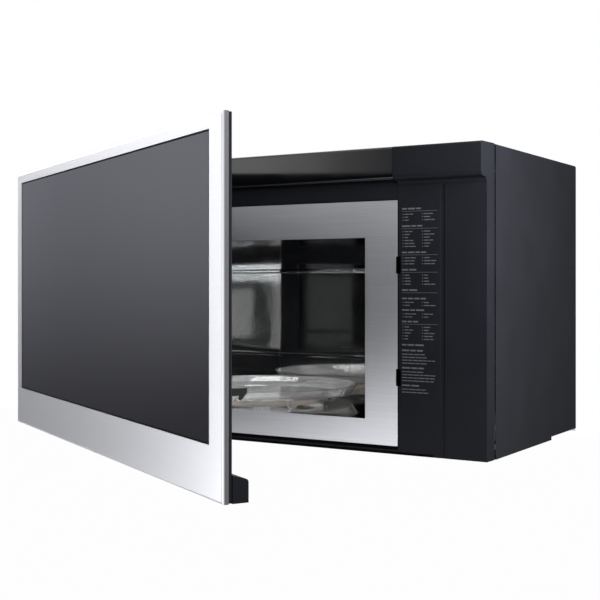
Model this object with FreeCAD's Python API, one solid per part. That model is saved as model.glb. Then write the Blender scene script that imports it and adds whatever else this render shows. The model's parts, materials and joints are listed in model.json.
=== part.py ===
import FreeCAD, Part
import math
import os
from FreeCAD import Vector

os.makedirs("parts", exist_ok=True)

# Over-the-range microwave oven with a full-width door hinged on the left.
# Millimetres. X runs to the right, Y runs back to the wall, Z runs up.
# The origin is the middle of the back face that lies on the wall.

# Cabinet
cabinet_width = 758.0
cabinet_height = 390.0
cabinet_depth = 353.0
header_height = 42.3
header_projection = 16.0
frame_return = 25.0
side_draft = 2.6
sheet = 0.8
wrap_bend = 3.0
moulding = 2.5
seam_gap = 0.3
seam_step_width = 5.5
seam_step_depth = 1.6
rear_notch_height = 4.7
rear_notch_length = 107.0
rear_notch_setback = 20.0

# Front plate and the cavity behind it
control_width = 122.3
left_stile = 34.0
lower_strip = 10.3
strip_groove = 0.8
plate_sheet = 1.2
upper_trim = 24.4
plate_margin_right = 47.1
plate_margin_left = 27.0
plate_margin_top = 46.8
plate_margin_bottom = 32.4
rear_space = 25.8
cavity_corner = 22.0
bead_radius = 4.0
bead_stand = 2.5
upper_bead_drop = 39.0
lower_bead_rise = 56.0
recess_depth = 6.0

# Header moulding
header_edge = 3.0
header_under_edge = 7.0
header_cove = 7.0
header_left_corner = 8.0
louvre_count = 26
louvre_width = 8.0
louvre_length = 20.0
louvre_pitch = 22.0
band_width = 6.2
band_depth = 0.6
band_inset = 57.3

# Door
door_thickness = 11.4
door_skin = 6.9
skin_sheet = 1.0
door_gap = 3.6
door_top_inset = 3.0
door_bottom_inset = 1.2
window_left = 24.0
window_right = 31.5
window_top = 14.6
window_bottom = 54.8
glass_inset = 0.3
glass_thickness = 3.7
glass_reveal = 0.8
glass_gap = 0.2
skin_edge = 3.0
back_frame_inset = 0.8
choke_overlap = 30.0
choke_band = 50.0
choke_depth = 17.0
choke_wall = 1.2
choke_slit_pitch = 36.0
choke_slit_width = 3.0
choke_cover_thickness = 1.6
grip_depth = 17.6
grip_height_front = 27.8
grip_height_rear = 23.0
grip_left_inset = 40.0
grip_round = 4.0
grip_clearance = 1.0
scoop_radius = 17.6
scoop_height = 7.0
scoop_end = 24.0
open_angle = 29.5

# Hinges
hinge_inset = 19.0
hinge_behind_face = 44.0
pin_radius = 4.0
pin_stand = 2.0
running_clearance = 0.05
hinge_plate = 3.0
arm_half_width = 7.0
upper_arm_drop = 9.2
arm_flange_height = 22.0
notch_clearance = 4.0

# Latch and interlock
latch_width = 3.0
latch_bar_width = 8.5
latch_bar_thickness = 5.0
latch_travel = 5.0
hook_height = 8.0
hook_barb = 5.0
hook_head = 9.0
hook_play = 1.0
latch_wall = 1.5
upper_hook_reach = 66.0
lower_hook_reach = 86.0
upper_hook_drop = 91.5
lower_hook_rise = 78.5
slot_clearance = 1.25
slot_end_clearance = 2.0
slot_in_plate = 2.6
switch_length = 28.0
switch_height = 16.0
switch_width = 8.0
plunger_half = 2.0
plunger_stand = 3.0
plunger_gap = 0.5
bracket_sheet = 1.5

# Turntable
tray_clearance = 7.0
tray_thickness = 5.0
tray_rim = 9.0
seat_gap = 0.3
roller_radius = 6.8
roller_width = 8.0
roller_inset = 49.0
recess_margin = 6.0
roller_axle = 2.0
ring_width = 6.0
ring_height = 6.0
coupler_radius = 12.0
coupler_shaft = 3.0
turntable_motor_radius = 26.0
turntable_motor_height = 20.0
motor_ear = 10.0
axle_stand = 2.0

# Vent blower above the cavity
blower_wheel_radius = 40.0
blower_wheel_length = 70.0
blower_blades = 14
blade_thickness = 0.9
blade_chord = 7.0
blade_pitch = 35.0
wheel_disc = 2.0
wheel_ring = 5.4
inlet_lip = 6.0
scroll_start = 43.0
scroll_growth = 3.0
scroll_steps = 5
scroll_width = 84.0
scroll_wall = 1.2
blower_from_wall = 85.0
vent_motor_length = 64.6
vent_motor_radius = 31.0
vent_motor_bell = 10.0
vent_shaft_radius = 4.0
adaptor_height = 17.0
adaptor_wall = 1.2
adaptor_flange = 12.0
adaptor_margin = 6.0
flap_thickness = 1.0
flap_rise = 3.0
flap_setback = 5.0

# Right-hand compartment
waveguide_width = 130.0
waveguide_height = 80.0
waveguide_depth = 40.0
waveguide_wall = 1.0
waveguide_from_wall = 85.0
waveguide_drop = 71.5
magnetron_length = 70.0
magnetron_width = 90.0
magnetron_height = 72.0
magnetron_fins = 5
magnetron_sheet = 2.0
anode_radius = 20.0
core_width = 92.0
core_depth = 62.0
core_height = 78.0
core_leg = 16.0
core_from_wall = 30.0
coil_gap = 0.3
capacitor_width = 54.0
capacitor_depth = 34.0
capacitor_height = 88.0
tag_width = 5.0
tag_length = 8.0
tag_sheet = 0.8
fan_radius = 44.0
fan_blades = 5
fan_hub_radius = 14.0
fan_hub_length = 14.0
fan_blade_sheet = 1.2
fan_blade_chord = 9.8
fan_blade_pitch = 28.0
fan_shroud_depth = 12.0
fan_tip_clearance = 3.0
bulb_radius = 11.0
board_thickness = 1.6
board_setback = 14.0
board_margin = 12.0

# Base and its fittings
filter_width = 206.0
filter_depth = 150.0
filter_thickness = 7.0
filter_lip = 6.0
filter_rim = 2.0
filter_travel = 12.0
filter_from_lens = 21.0
filter_left_inset = 54.0
filter_right_inset = 35.7
lens_width = 118.0
lens_depth = 34.0
lens_thickness = 3.0
lens_from_seam = 12.0

# Fixings to the wall and the cupboard above
cupboard_bolt_spacing = 500.0
cupboard_bolt_from_wall = 175.0
cupboard_bolt_radius = 4.0
wall_slot_spacing = 500.0
wall_slot_length = 40.0
wall_slot_radius = 3.0
wall_slot_rise = 45.0
bushing_radius = 11.0
bushing_bore = 4.5
bushing_flange = 3.0
bushing_from_side = 70.0
bushing_from_wall = 60.0

# Sides of round pieces that sit out of sight or under the tray
hub_sides = 12
motor_sides = 20
bushing_sides = 20
wheel_sides = 18
shroud_sides = 32
roller_sides = 32
ring_sides = 48

# How far a cutting block runs past the face that it cuts
overcut = 1.0

# Levels and planes that follow from the sizes
left_x = -cabinet_width / 2
right_x = cabinet_width / 2
top_z = cabinet_height / 2
bottom_z = -cabinet_height / 2
header_y = -cabinet_depth
panel_y = header_y + header_projection
seam_y = panel_y + frame_return
header_z = top_z - header_height
plate_right = right_x - control_width
plate_left = left_x + left_stile
plate_top = header_z - upper_trim
plate_bottom = bottom_z + lower_strip
cavity_right = plate_right - plate_margin_right
cavity_left = plate_left + plate_margin_left
cavity_top = plate_top - plate_margin_top
cavity_bottom = plate_bottom + plate_margin_bottom
cavity_front = panel_y + plate_sheet
cavity_rear = -rear_space
cavity_middle_x = (cavity_left + cavity_right) / 2
cavity_middle_y = (panel_y + cavity_rear) / 2
recess_z = cavity_bottom - recess_depth
tray_radius = min(cavity_rear - cavity_front, cavity_right - cavity_left) / 2 - tray_clearance
roller_circle = tray_radius - roller_inset
upper_hook_z = plate_top - upper_hook_drop
lower_hook_z = plate_bottom + lower_hook_rise
waveguide_centre_z = cavity_top - waveguide_drop
wall_slot_z = bottom_z + wall_slot_rise
inside_top = top_z - sheet
base_sheet = 1.0
base_top = bottom_z + base_sheet
door_face_y = header_y - door_gap - door_thickness
door_back_y = door_face_y + door_thickness
door_top = top_z - door_top_inset
door_bottom = bottom_z + door_bottom_inset
hinge_x = left_x + hinge_inset
hinge_y = door_face_y + hinge_behind_face


def box(x0, x1, y0, y1, z0, z1):
    return Part.makeBox(x1 - x0, y1 - y0, z1 - z0, Vector(x0, y0, z0))


def rod(radius, start, end):
    start = Vector(*start)
    end = Vector(*end)
    return Part.makeCylinder(radius, (end - start).Length, start, end - start)


def drum(radius, sides, start, end):
    # Many-sided prism along an axis, for round pieces that sit out of sight.
    axis = Vector(*end) - Vector(*start)
    turn = 2 * math.pi / sides
    points = [Vector(radius * math.cos(i * turn), radius * math.sin(i * turn), 0) for i in range(sides)]
    solid = Part.Face(Part.makePolygon(points + points[:1])).extrude(Vector(0, 0, axis.Length))
    solid.Placement = FreeCAD.Placement(Vector(*start), FreeCAD.Rotation(Vector(0, 0, 1), axis))
    return solid


def prism(points, sweep):
    corners = [Vector(*point) for point in points]
    return Part.Face(Part.makePolygon(corners + corners[:1])).extrude(Vector(*sweep))


def bearing(radius, start, end):
    # Bore whose flats clear a shaft of this radius.
    return drum((radius + running_clearance) / math.cos(math.pi / hub_sides), hub_sides, start, end)


def section(x, corners):
    # Face across the cabinet: each corner is its y, its z and the radius of its round.
    spots = [Vector(x, y, z) for y, z, radius in corners]
    edges = []
    ends = []
    for index, here in enumerate(spots):
        back = (spots[index - 1] - here).normalize()
        onward = (spots[(index + 1) % len(spots)] - here).normalize()
        half = back.getAngle(onward) / 2
        radius = corners[index][2]
        reach = radius / math.tan(half)
        ends.append((here + back * reach, here + onward * reach))
        if radius > 0:
            crown = here + (back + onward).normalize() * (radius / math.sin(half) - radius)
            edges.append(Part.Arc(ends[-1][0], crown, ends[-1][1]).toShape())
        if index > 0:
            edges.append(Part.LineSegment(ends[-2][1], ends[-1][0]).toShape())
    edges.append(Part.LineSegment(ends[-1][1], ends[0][0]).toShape())
    return Part.Face(Part.Wire(Part.__sortEdges__(edges)))


def joined(*pieces):
    return pieces[0].multiFuse(list(pieces[1:])).removeSplitter()


def edges_along(shape, direction, chosen):
    axis = Vector(*direction)
    found = []
    for edge in shape.Edges:
        if not isinstance(edge.Curve, Part.Line):
            continue
        run = edge.Vertexes[-1].Point - edge.Vertexes[0].Point
        if abs(abs(run.normalize().dot(axis)) - 1) < 1e-6 and chosen(edge.CenterOfMass):
            found.append(edge)
    return found


def rounded(shape, radius, direction, chosen):
    return shape.makeFillet(radius, edges_along(shape, direction, chosen))


def slot_x(centre_x, z, length, radius, y0, y1):
    half = length / 2 - radius
    middle = box(centre_x - half, centre_x + half, y0, y1, z - radius, z + radius)
    ends = []
    for x in (centre_x - half, centre_x + half):
        ends.append(rod(radius, (x, y0, z), (x, y1, z)))
    return joined(middle, *ends)


def save(name, shape):
    if not shape.isValid():
        raise ValueError(name + " is not a valid shape")
    shape.exportStep(os.path.join("parts", name + ".step"))


def ajar(shape):
    turned = shape.copy()
    turned.rotate(Vector(hinge_x, hinge_y, 0), Vector(0, 0, 1), -open_angle)
    return turned


# Cabinet sheet metal
blower_y = -blower_from_wall
scroll_last = scroll_start + 2 * scroll_growth
blower_z = cavity_top + sheet + seam_gap + scroll_last + scroll_growth
outlet_front = blower_y
outlet_rear = blower_y + scroll_last + scroll_growth
outlet_half_width = vent_motor_length / 2 + scroll_width
bushing_x = right_x - bushing_from_side
bushing_y = -bushing_from_wall


def make_outer_wrap():
    front = seam_y + seam_gap
    outer = box(left_x, right_x, front, 0, bottom_z, top_z)
    outer = rounded(outer, wrap_bend, (0, 1, 0), lambda c: c.z > top_z - sheet)
    inner = box(left_x + sheet, right_x - sheet, front - overcut, overcut, bottom_z - overcut, inside_top)
    inner = rounded(inner, wrap_bend - sheet, (0, 1, 0), lambda c: c.z > inside_top - sheet)
    low = inside_top - overcut
    high = top_z + overcut
    cuts = [box(left_x - overcut, right_x + overcut, -rear_notch_length, overcut, bottom_z - overcut,
                bottom_z + rear_notch_height)]
    for x in (-cupboard_bolt_spacing / 2, cupboard_bolt_spacing / 2):
        y = -cupboard_bolt_from_wall
        cuts.append(rod(cupboard_bolt_radius, (x, y, low), (x, y, high)))
    bushing = (bushing_x, bushing_y)
    cuts.append(drum(bushing_radius, bushing_sides, (*bushing, low), (*bushing, high)))
    cuts.append(box(-outlet_half_width, outlet_half_width, outlet_front, outlet_rear, low, high))
    return outer.cut(inner).cut(cuts)


fan_x = plate_right + control_width / 2
fan_z = cavity_top


def make_back_panel():
    edge = sheet + seam_gap
    panel = box(left_x + edge, right_x - edge, -base_sheet, 0, base_top, inside_top - seam_gap)
    panel = panel.makeChamfer(wrap_bend, edges_along(panel, (0, 1, 0), lambda c: c.z > 0))
    front = -base_sheet - overcut
    cuts = []
    for x in (-wall_slot_spacing / 2, wall_slot_spacing / 2):
        cuts.append(slot_x(x, wall_slot_z, wall_slot_length, wall_slot_radius, front, overcut))
    inlet_pitch = fan_radius / 4
    for row in range(-3, 4):
        z = fan_z + row * inlet_pitch
        half = math.sqrt(fan_radius ** 2 - (row * inlet_pitch) ** 2)
        cuts.append(box(fan_x - half, fan_x + half, front, overcut, z, z + inlet_pitch / 2))
    return panel.cut(cuts)


lens_front = seam_y + lens_from_seam
lens_rear = lens_front + lens_depth
filter_front = lens_rear + filter_from_lens
filter_rear = filter_front + filter_depth
left_filter_x = left_x + filter_left_inset + filter_width / 2
right_filter_x = plate_right - filter_right_inset - filter_width / 2


def make_base_panel():
    edge = sheet + seam_gap
    rear = -base_sheet - seam_gap
    base = box(left_x + edge, right_x - edge, seam_y + seam_gap, rear, bottom_z, base_top)
    low = bottom_z - overcut
    high = base_top + overcut
    cuts = []
    for x in (left_x, right_x - rear_notch_setback):
        cuts.append(box(x, x + rear_notch_setback, -rear_notch_length, 0, low, high))
    rails = []
    half = filter_width / 2
    for x in (left_filter_x, right_filter_x):
        cuts.append(box(x - half + filter_lip, x + half - filter_lip, filter_front + filter_lip,
                        filter_rear - filter_lip, low, high))
        for rail_x in (x - half - seam_gap - base_sheet, x + half + seam_gap):
            rails.append(box(rail_x, rail_x + base_sheet, filter_front, filter_rear + filter_travel,
                             base_top, base_top + filter_thickness))
    inset = lens_thickness
    half = lens_width / 2 - inset
    cuts.append(box(-half, half, lens_front + inset, lens_rear - inset, low, high))
    inlet_left = plate_right + control_width / 4
    for row in range(6):
        y = seam_y + control_width / 4 + row * 2 * louvre_width
        cuts.append(box(inlet_left, inlet_left + control_width / 2, y, y + louvre_width, low, high))
    return joined(base.cut(cuts), *rails)


# Front mouldings
def side_taper(side):
    # Wedge that leans the side of a front moulding in towards its front edge.
    x = side * cabinet_width / 2
    depth = seam_y - header_y
    inner = x - side * side_draft * (1 + overcut / depth)
    beyond = x + side * overcut
    front = header_y - overcut
    low = bottom_z - overcut
    points = [(x, seam_y, low), (beyond, seam_y, low), (beyond, front, low), (inner, front, low)]
    return prism(points, (0, 0, cabinet_height + 2 * overcut))


def seam_step(side):
    # Shallow step behind the side of a front moulding, which makes a dark line where the sheet metal begins.
    x = side * cabinet_width / 2
    inner = x - side * seam_step_depth
    beyond = x + side * overcut
    return box(min(inner, beyond), max(inner, beyond), seam_y - seam_step_width, seam_y + overcut,
               bottom_z - overcut, top_z + overcut)


upper_arm_top = header_z - moulding - upper_arm_drop
upper_arm_z = upper_arm_top - hinge_plate
upper_bracket_z = header_z - moulding - hinge_plate
lower_bracket_z = bottom_z + moulding
lower_bracket_top = lower_bracket_z + hinge_plate
lower_arm_z = lower_bracket_top + seat_gap
lower_arm_top = lower_arm_z + hinge_plate
plate_joint = 0.2


def hinge_notch(z0, z1):
    right = hinge_x + 2 * arm_half_width
    return box(left_x - overcut, right, panel_y - overcut, seam_y + overcut, z0 - notch_clearance,
               z1 + notch_clearance)


def make_front_frame():
    right = plate_right - plate_joint
    shelf = header_z
    face = box(left_x, right, panel_y, panel_y + moulding, bottom_z, shelf)
    top = box(left_x, right, panel_y, seam_y, shelf - moulding, shelf)
    side = box(left_x, left_x + moulding, panel_y, seam_y, bottom_z, shelf)
    floor = box(left_x, right, panel_y, seam_y, bottom_z, bottom_z + moulding)
    frame = joined(face, top, side, floor)
    window = box(plate_left - plate_joint, right + overcut, panel_y - overcut, panel_y + moulding + overcut,
                 plate_bottom - plate_joint, plate_top + plate_joint)
    groove_z = (bottom_z + plate_bottom) / 2
    groove = box(left_x - overcut, right + overcut, panel_y - overcut, panel_y + band_depth, groove_z,
                 groove_z + strip_groove)
    notches = [hinge_notch(upper_arm_z, upper_arm_top), hinge_notch(lower_arm_z, lower_arm_top)]
    return frame.cut([window, groove, side_taper(-1), seam_step(-1)] + notches)


def panel_corners(inset):
    # Outline of the control panel and the header end over it, drawn in by the inset.
    front = header_y + inset
    face = panel_y + inset
    rear = seam_y + inset
    under = header_z + inset
    top = top_z - inset
    low = bottom_z + inset
    return [(rear, low, 0), (face, low, 0), (face, under, header_cove + inset),
            (front, under, header_under_edge - inset), (front, top, max(header_edge - inset, 0)),
            (rear, top, 0)]


panel_left = plate_right + seam_gap
band_x = right_x - band_inset
board_y = panel_y + moulding + board_setback
board_left = plate_right + board_margin
board_right = right_x - board_margin
board_bottom = bottom_z + cabinet_height / 4
board_top = cavity_top
boss_radius = 4.0
boss_sides = 8
boss_inset = 6.0


def make_control_panel():
    outer = section(panel_left, panel_corners(0)).extrude(Vector(right_x - panel_left, 0, 0))
    inner_left = panel_left - overcut
    inner_width = right_x - moulding - inner_left
    inner = section(inner_left, panel_corners(moulding)).extrude(Vector(inner_width, 0, 0))
    cuts = [side_taper(1), seam_step(1)]
    front = panel_y - overcut
    cuts.append(box(band_x - band_width, band_x, front, panel_y + band_depth, bottom_z - overcut,
                    header_z - header_cove))
    for z0, z1 in hook_slots():
        # The hooks swing outwards by about a millimetre as they leave the slots.
        slot_right = hook_right + 2 * slot_clearance
        cuts.append(box(inner_left, slot_right, front, panel_y + moulding + overcut, z0, z1))
    bosses = []
    for x in (board_left + boss_inset, board_right - boss_inset):
        for z in (board_bottom + boss_inset, board_top - boss_inset):
            bosses.append(drum(boss_radius, boss_sides, (x, panel_y + moulding, z), (x, board_y, z)))
    return joined(outer.cut(inner).cut(cuts), *bosses)


def grille_corners(inset):
    front = header_y + inset
    rear = seam_y + inset
    under = header_z + plate_joint + inset
    top = top_z - inset
    return [(rear, under, 0), (front, under, header_under_edge - inset),
            (front, top, max(header_edge - inset, 0)), (rear, top, 0)]


def left_corner_waste():
    # What is cut off the upright front corner of the header to make it round, so that the door swings past.
    radius = header_left_corner
    x = left_x + side_draft * (1 - radius / (seam_y - header_y)) + radius
    y = header_y + radius
    low = header_z - overcut
    high = top_z + overcut
    block = box(left_x - overcut, x, header_y - overcut, y, low, high)
    return block.cut(rod(radius, (x, y, low), (x, y, high)))


def make_vent_grille():
    # Long hollow header with slots in its top that let the air of the vent out.
    right = plate_right
    outer = section(left_x, grille_corners(0)).extrude(Vector(right - left_x, 0, 0)).cut(side_taper(-1))
    inner_left = left_x + side_draft + header_left_corner
    inner = section(inner_left, grille_corners(moulding)).extrude(Vector(right + overcut - inner_left, 0, 0))
    under = header_z + plate_joint
    cuts = [inner, left_corner_waste(), seam_step(-1)]
    cuts.append(box(left_x - overcut, right + overcut, panel_y + 2 * moulding, seam_y + overcut,
                    under - overcut, under + moulding))
    start = (left_x + right) / 2 - louvre_pitch * (louvre_count - 1) / 2
    y0 = panel_y - louvre_length / 4
    for index in range(louvre_count):
        x = start + index * louvre_pitch
        cuts.append(box(x - louvre_width / 2, x + louvre_width / 2, y0, y0 + louvre_length,
                        top_z - moulding - overcut, top_z + overcut))
    return outer.cut(cuts)


def make_charcoal_filter():
    half = filter_width
    y0 = seam_y - 2 * moulding - header_projection / 2
    y1 = y0 + header_projection / 2
    z0 = header_z
    z1 = top_z - moulding - header_edge
    frame = box(-half, half, y0, y1, z0, z1)
    rim = moulding
    bay = (2 * half - 5 * rim) / 4
    cuts = []
    for index in range(4):
        x = -half + rim + index * (bay + rim)
        for y in (y0 - overcut, y1 - overcut):
            cuts.append(box(x, x + bay, y, y + 2 * overcut, z0 + rim, z1 - rim))
    return frame.cut(cuts)


# Cavity
hook_left = plate_right - slot_in_plate + slot_clearance
hook_right = hook_left + latch_width


def make_cavity_front_plate():
    plate = box(plate_left, plate_right - seam_gap, panel_y, cavity_front, plate_bottom, plate_top)
    front = panel_y - overcut
    rear = cavity_front + overcut
    cuts = [box(cavity_left, cavity_right, front, rear, cavity_bottom, cavity_top)]
    for z0, z1 in hook_slots():
        cuts.append(box(plate_right - slot_in_plate, plate_right + overcut, front, rear, z0, z1))
    return plate.cut(cuts)


def hook_slots():
    spans = []
    for z in (upper_hook_z, lower_hook_z):
        top = z + hook_barb + hook_height + latch_travel
        spans.append((z - slot_end_clearance, top + slot_end_clearance))
    return spans


recess_radius = roller_circle + roller_width / 2 + seat_gap + recess_margin
shaft_hole = coupler_shaft + coupler_shaft
bead_sides = 10
guide_sides = 16


def cavity_block(grow):
    y0 = cavity_front
    block = box(cavity_left - grow, cavity_right + grow, y0, cavity_rear + grow, cavity_bottom - grow,
                cavity_top + grow)
    block = rounded(block, cavity_corner + grow, (0, 0, 1), lambda c: c.y > cavity_middle_y)
    centre = (cavity_middle_x, cavity_middle_y)
    recess = rod(recess_radius + grow, (*centre, recess_z - grow), (*centre, cavity_bottom))
    block = joined(block, recess)
    beads = []
    bead_y = cavity_rear - bead_stand + bead_radius
    for z in (cavity_top - upper_bead_drop, cavity_bottom + lower_bead_rise):
        x0 = cavity_left + cavity_corner
        x1 = cavity_right - cavity_corner
        beads.append(drum(bead_radius - grow, bead_sides, (x0, bead_y, z), (x1, bead_y, z)))
    return block.cut(beads)


window_y0 = -waveguide_from_wall - waveguide_width / 2 - waveguide_height / 2
window_y1 = -waveguide_from_wall - waveguide_width / 2 + waveguide_height / 2
window_half = waveguide_height / 4


def make_cavity_liner():
    liner = cavity_block(sheet).cut(cavity_block(0))
    centre = (cavity_middle_x, cavity_middle_y)
    hole = drum(shaft_hole, guide_sides, (*centre, recess_z - sheet - overcut), (*centre, recess_z + overcut))
    window = box(cavity_right - overcut, cavity_right + sheet + overcut, window_y0, window_y1,
                 waveguide_centre_z - window_half, waveguide_centre_z + window_half)
    return liner.cut([hole, window])


def make_waveguide_cover():
    margin = filter_lip
    return box(cavity_right - sheet, cavity_right, window_y0 - margin, window_y1 + margin,
               waveguide_centre_z - window_half - margin, waveguide_centre_z + window_half + margin)


waveguide_left = cavity_right + sheet
waveguide_right = waveguide_left + waveguide_depth
waveguide_rear = -waveguide_from_wall
waveguide_front = waveguide_rear - waveguide_width
antenna_y = waveguide_front + waveguide_height / 2
antenna_radius = 8.0


def make_waveguide():
    z0 = waveguide_centre_z - waveguide_height / 2
    z1 = waveguide_centre_z + waveguide_height / 2
    wall = waveguide_wall
    outer = box(waveguide_left, waveguide_right, waveguide_front, waveguide_rear, z0, z1)
    inner = box(waveguide_left - overcut, waveguide_right - wall, waveguide_front + wall,
                waveguide_rear - wall, z0 + wall, z1 - wall)
    middle = (antenna_y, waveguide_centre_z)
    hole = drum(antenna_radius + wall, guide_sides, (waveguide_right - wall - overcut, *middle),
                (waveguide_right + overcut, *middle))
    return outer.cut([inner, hole])


def make_magnetron():
    x0 = waveguide_right
    x1 = x0 + magnetron_length
    y0 = antenna_y - magnetron_height / 2
    y1 = antenna_y + magnetron_height / 2
    z0 = waveguide_centre_z - magnetron_width / 2
    z1 = waveguide_centre_z + magnetron_width / 2
    skin = magnetron_sheet
    hollow = box(x0 + skin, x1 - skin, y0 - overcut, y1 + overcut, z0 + skin, z1 - skin)
    yoke = box(x0, x1, y0, y1, z0, z1).cut(hollow)
    middle = (antenna_y, waveguide_centre_z)
    anode = drum(anode_radius, guide_sides, (x0, *middle), (x1, *middle))
    antenna = drum(antenna_radius, guide_sides, (x0 - waveguide_depth / 2, *middle), (x0, *middle))
    pieces = [anode, antenna]
    step = (magnetron_length - 2 * skin) / (magnetron_fins + 1)
    for index in range(magnetron_fins):
        x = x0 + skin + step * (index + 1)
        pieces.append(box(x - skin / 4, x + skin / 4, y0 + skin, y1 - skin, z0, z1))
    filter_box = box(x1, x1 + magnetron_length / 5, y0 + 2 * skin, y1 - 2 * skin,
                     waveguide_centre_z - anode_radius, waveguide_centre_z + anode_radius)
    return joined(yoke, *pieces, filter_box)


# Power supply
core_x = plate_right + control_width / 2
core_y = -core_depth / 2 - core_from_wall


def make_transformer_core():
    half = core_width / 2
    leg = core_leg
    x0 = core_x - half
    core = box(x0, x0 + core_width, core_y - core_depth / 2, core_y + core_depth / 2, base_top,
               base_top + core_height)
    bay = (core_width - 4 * leg) / 2
    cuts = []
    for x in (x0 + leg, x0 + core_width - leg - bay):
        cuts.append(box(x, x + bay, core_y - core_depth, core_y + core_depth, base_top + leg,
                        base_top + core_height - leg))
    return core.cut(cuts)


def make_transformer_coils():
    # Two windings, one above the other, round the wide middle leg of the core.
    leg = core_leg
    bay = (core_width - 4 * leg) / 2
    inner_x = leg + coil_gap
    outer_x = leg + bay - coil_gap
    inner_y = core_depth / 2 + coil_gap
    outer_y = inner_y + outer_x - inner_x
    low = base_top + leg + coil_gap
    high = base_top + core_height - leg - coil_gap
    half = (high - low - coil_gap) / 2
    coils = []
    for z in (low, low + half + coil_gap):
        coil = box(core_x - outer_x, core_x + outer_x, core_y - outer_y, core_y + outer_y, z, z + half)
        coil = coil.makeChamfer(bay / 2, edges_along(coil, (0, 0, 1), lambda c: True))
        bore = box(core_x - inner_x, core_x + inner_x, core_y - inner_y, core_y + inner_y, z - overcut, high)
        coils.append(coil.cut(bore))
    return Part.makeCompound(coils)


def make_hv_capacitor():
    y = core_y - core_depth - capacitor_depth
    half = capacitor_width / 2
    top = base_top + capacitor_height
    can = box(core_x - half, core_x + half, y - capacitor_depth / 2, y + capacitor_depth / 2, base_top, top)
    can = can.makeChamfer(capacitor_depth / 3, edges_along(can, (0, 0, 1), lambda c: True))
    tags = []
    for x in (core_x - half / 2, core_x + half / 2):
        tags.append(box(x - tag_width / 2, x + tag_width / 2, y - tag_sheet / 2, y + tag_sheet / 2, top,
                        top + tag_length))
    return joined(can, *tags)


# Cooling fan on the back panel
fan_y = -base_sheet - fan_shroud_depth


def make_fan_shroud():
    half = fan_radius + 3 * fan_tip_clearance
    plate = box(fan_x - half, fan_x + half, fan_y, -base_sheet, fan_z - half, fan_z + half)
    plate = plate.makeChamfer(2 * fan_tip_clearance, edges_along(plate, (0, 1, 0), lambda c: True))
    bore = drum(fan_radius + fan_tip_clearance, shroud_sides, (fan_x, fan_y - overcut, fan_z),
                (fan_x, 0, fan_z))
    return plate.cut(bore)


fan_motor_gap = 2.0
fan_motor_rear = fan_y - fan_motor_gap
fan_motor_length = 24.0
fan_motor_radius = 20.0
fan_shaft = 2.5


def make_cooling_fan_motor():
    front = fan_motor_rear - fan_motor_length
    body = drum(fan_motor_radius, motor_sides, (fan_x, front, fan_z), (fan_x, fan_motor_rear, fan_z))
    reach = fan_radius + 2 * fan_tip_clearance
    arm = 2 * fan_shaft
    pieces = []
    for side in (-1, 1):
        x0 = fan_x + side * fan_hub_radius
        x1 = fan_x + side * (reach + arm)
        pieces.append(box(min(x0, x1), max(x0, x1), fan_motor_rear - arm, fan_motor_rear,
                          fan_z - arm, fan_z + arm))
        foot0 = fan_x + side * reach
        pieces.append(box(min(foot0, x1), max(foot0, x1), fan_motor_rear - arm, fan_y,
                          fan_z - arm, fan_z + arm))
    bore = bearing(fan_shaft, (fan_x, fan_motor_rear - fan_motor_length / 2, fan_z),
                   (fan_x, fan_motor_rear + overcut, fan_z))
    return joined(body, *pieces).cut(bore)


def make_cooling_fan():
    y1 = fan_y + fan_hub_length - fan_motor_gap
    hub = drum(fan_hub_radius, hub_sides, (fan_x, fan_y, fan_z), (fan_x, y1, fan_z))
    y0 = fan_motor_rear - fan_motor_length / 2 + fan_motor_gap
    shaft = rod(fan_shaft, (fan_x, y0, fan_z), (fan_x, y1, fan_z))
    pieces = [shaft]
    middle = (fan_y + y1) / 2
    half = fan_blade_sheet / 2
    root = fan_z + fan_hub_radius - 2 * fan_blade_sheet
    for index in range(fan_blades):
        blade = box(fan_x - fan_blade_chord, fan_x + fan_blade_chord, middle - half, middle + half, root,
                    fan_z + fan_radius)
        blade.rotate(Vector(fan_x, middle, fan_z), Vector(0, 0, 1), fan_blade_pitch)
        blade.rotate(Vector(fan_x, middle, fan_z), Vector(0, 1, 0), index * 360.0 / fan_blades)
        pieces.append(blade)
    return joined(hub, *pieces)


def make_control_board():
    board = box(board_left, board_right, board_y, board_y + board_thickness, board_bottom, board_top)
    rear = board_y + board_thickness
    width = board_right - board_left
    height = board_top - board_bottom
    pieces = []
    for column in (0.25, 0.55):
        for row in (0.15, 0.4, 0.65):
            x = board_left + column * width
            z = board_bottom + row * height
            pieces.append(box(x, x + width / 5, rear, rear + width / 6, z, z + height / 8))
    return joined(board, *pieces)


# Hinges on the cabinet and on the door
def make_hinge_bracket(z0):
    rear = seam_y
    x0 = left_x + moulding + seam_gap
    plate = box(x0, hinge_x + 3 * arm_half_width, panel_y + moulding + seam_gap, rear, z0, z0 + hinge_plate)
    low = (hinge_x, hinge_y, z0 - overcut)
    high = (hinge_x, hinge_y, z0 + hinge_plate + overcut)
    return plate.cut(rod(pin_radius, low, high))


def make_hinge_arm(z0, flange_up):
    # Flat arm with a round eye on the hinge axis and a flange that lies on the door's back.
    z1 = z0 + hinge_plate
    half = arm_half_width
    eye = drum(half, motor_sides, (hinge_x, hinge_y, z0), (hinge_x, hinge_y, z1))
    arm = box(hinge_x - half, hinge_x + half, door_back_y, hinge_y, z0, z1)
    f0 = z0 if flange_up else z1 - arm_flange_height
    flange = box(hinge_x - half - hinge_plate, hinge_x + 2 * half, door_back_y, door_back_y + hinge_plate,
                 f0, f0 + arm_flange_height)
    bore = rod(pin_radius + running_clearance, (hinge_x, hinge_y, z0 - overcut),
               (hinge_x, hinge_y, z1 + overcut))
    return joined(eye, arm, flange).cut(bore)


def make_hinge_pin(low, high):
    return rod(pin_radius, (hinge_x, hinge_y, low), (hinge_x, hinge_y, high))


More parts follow.
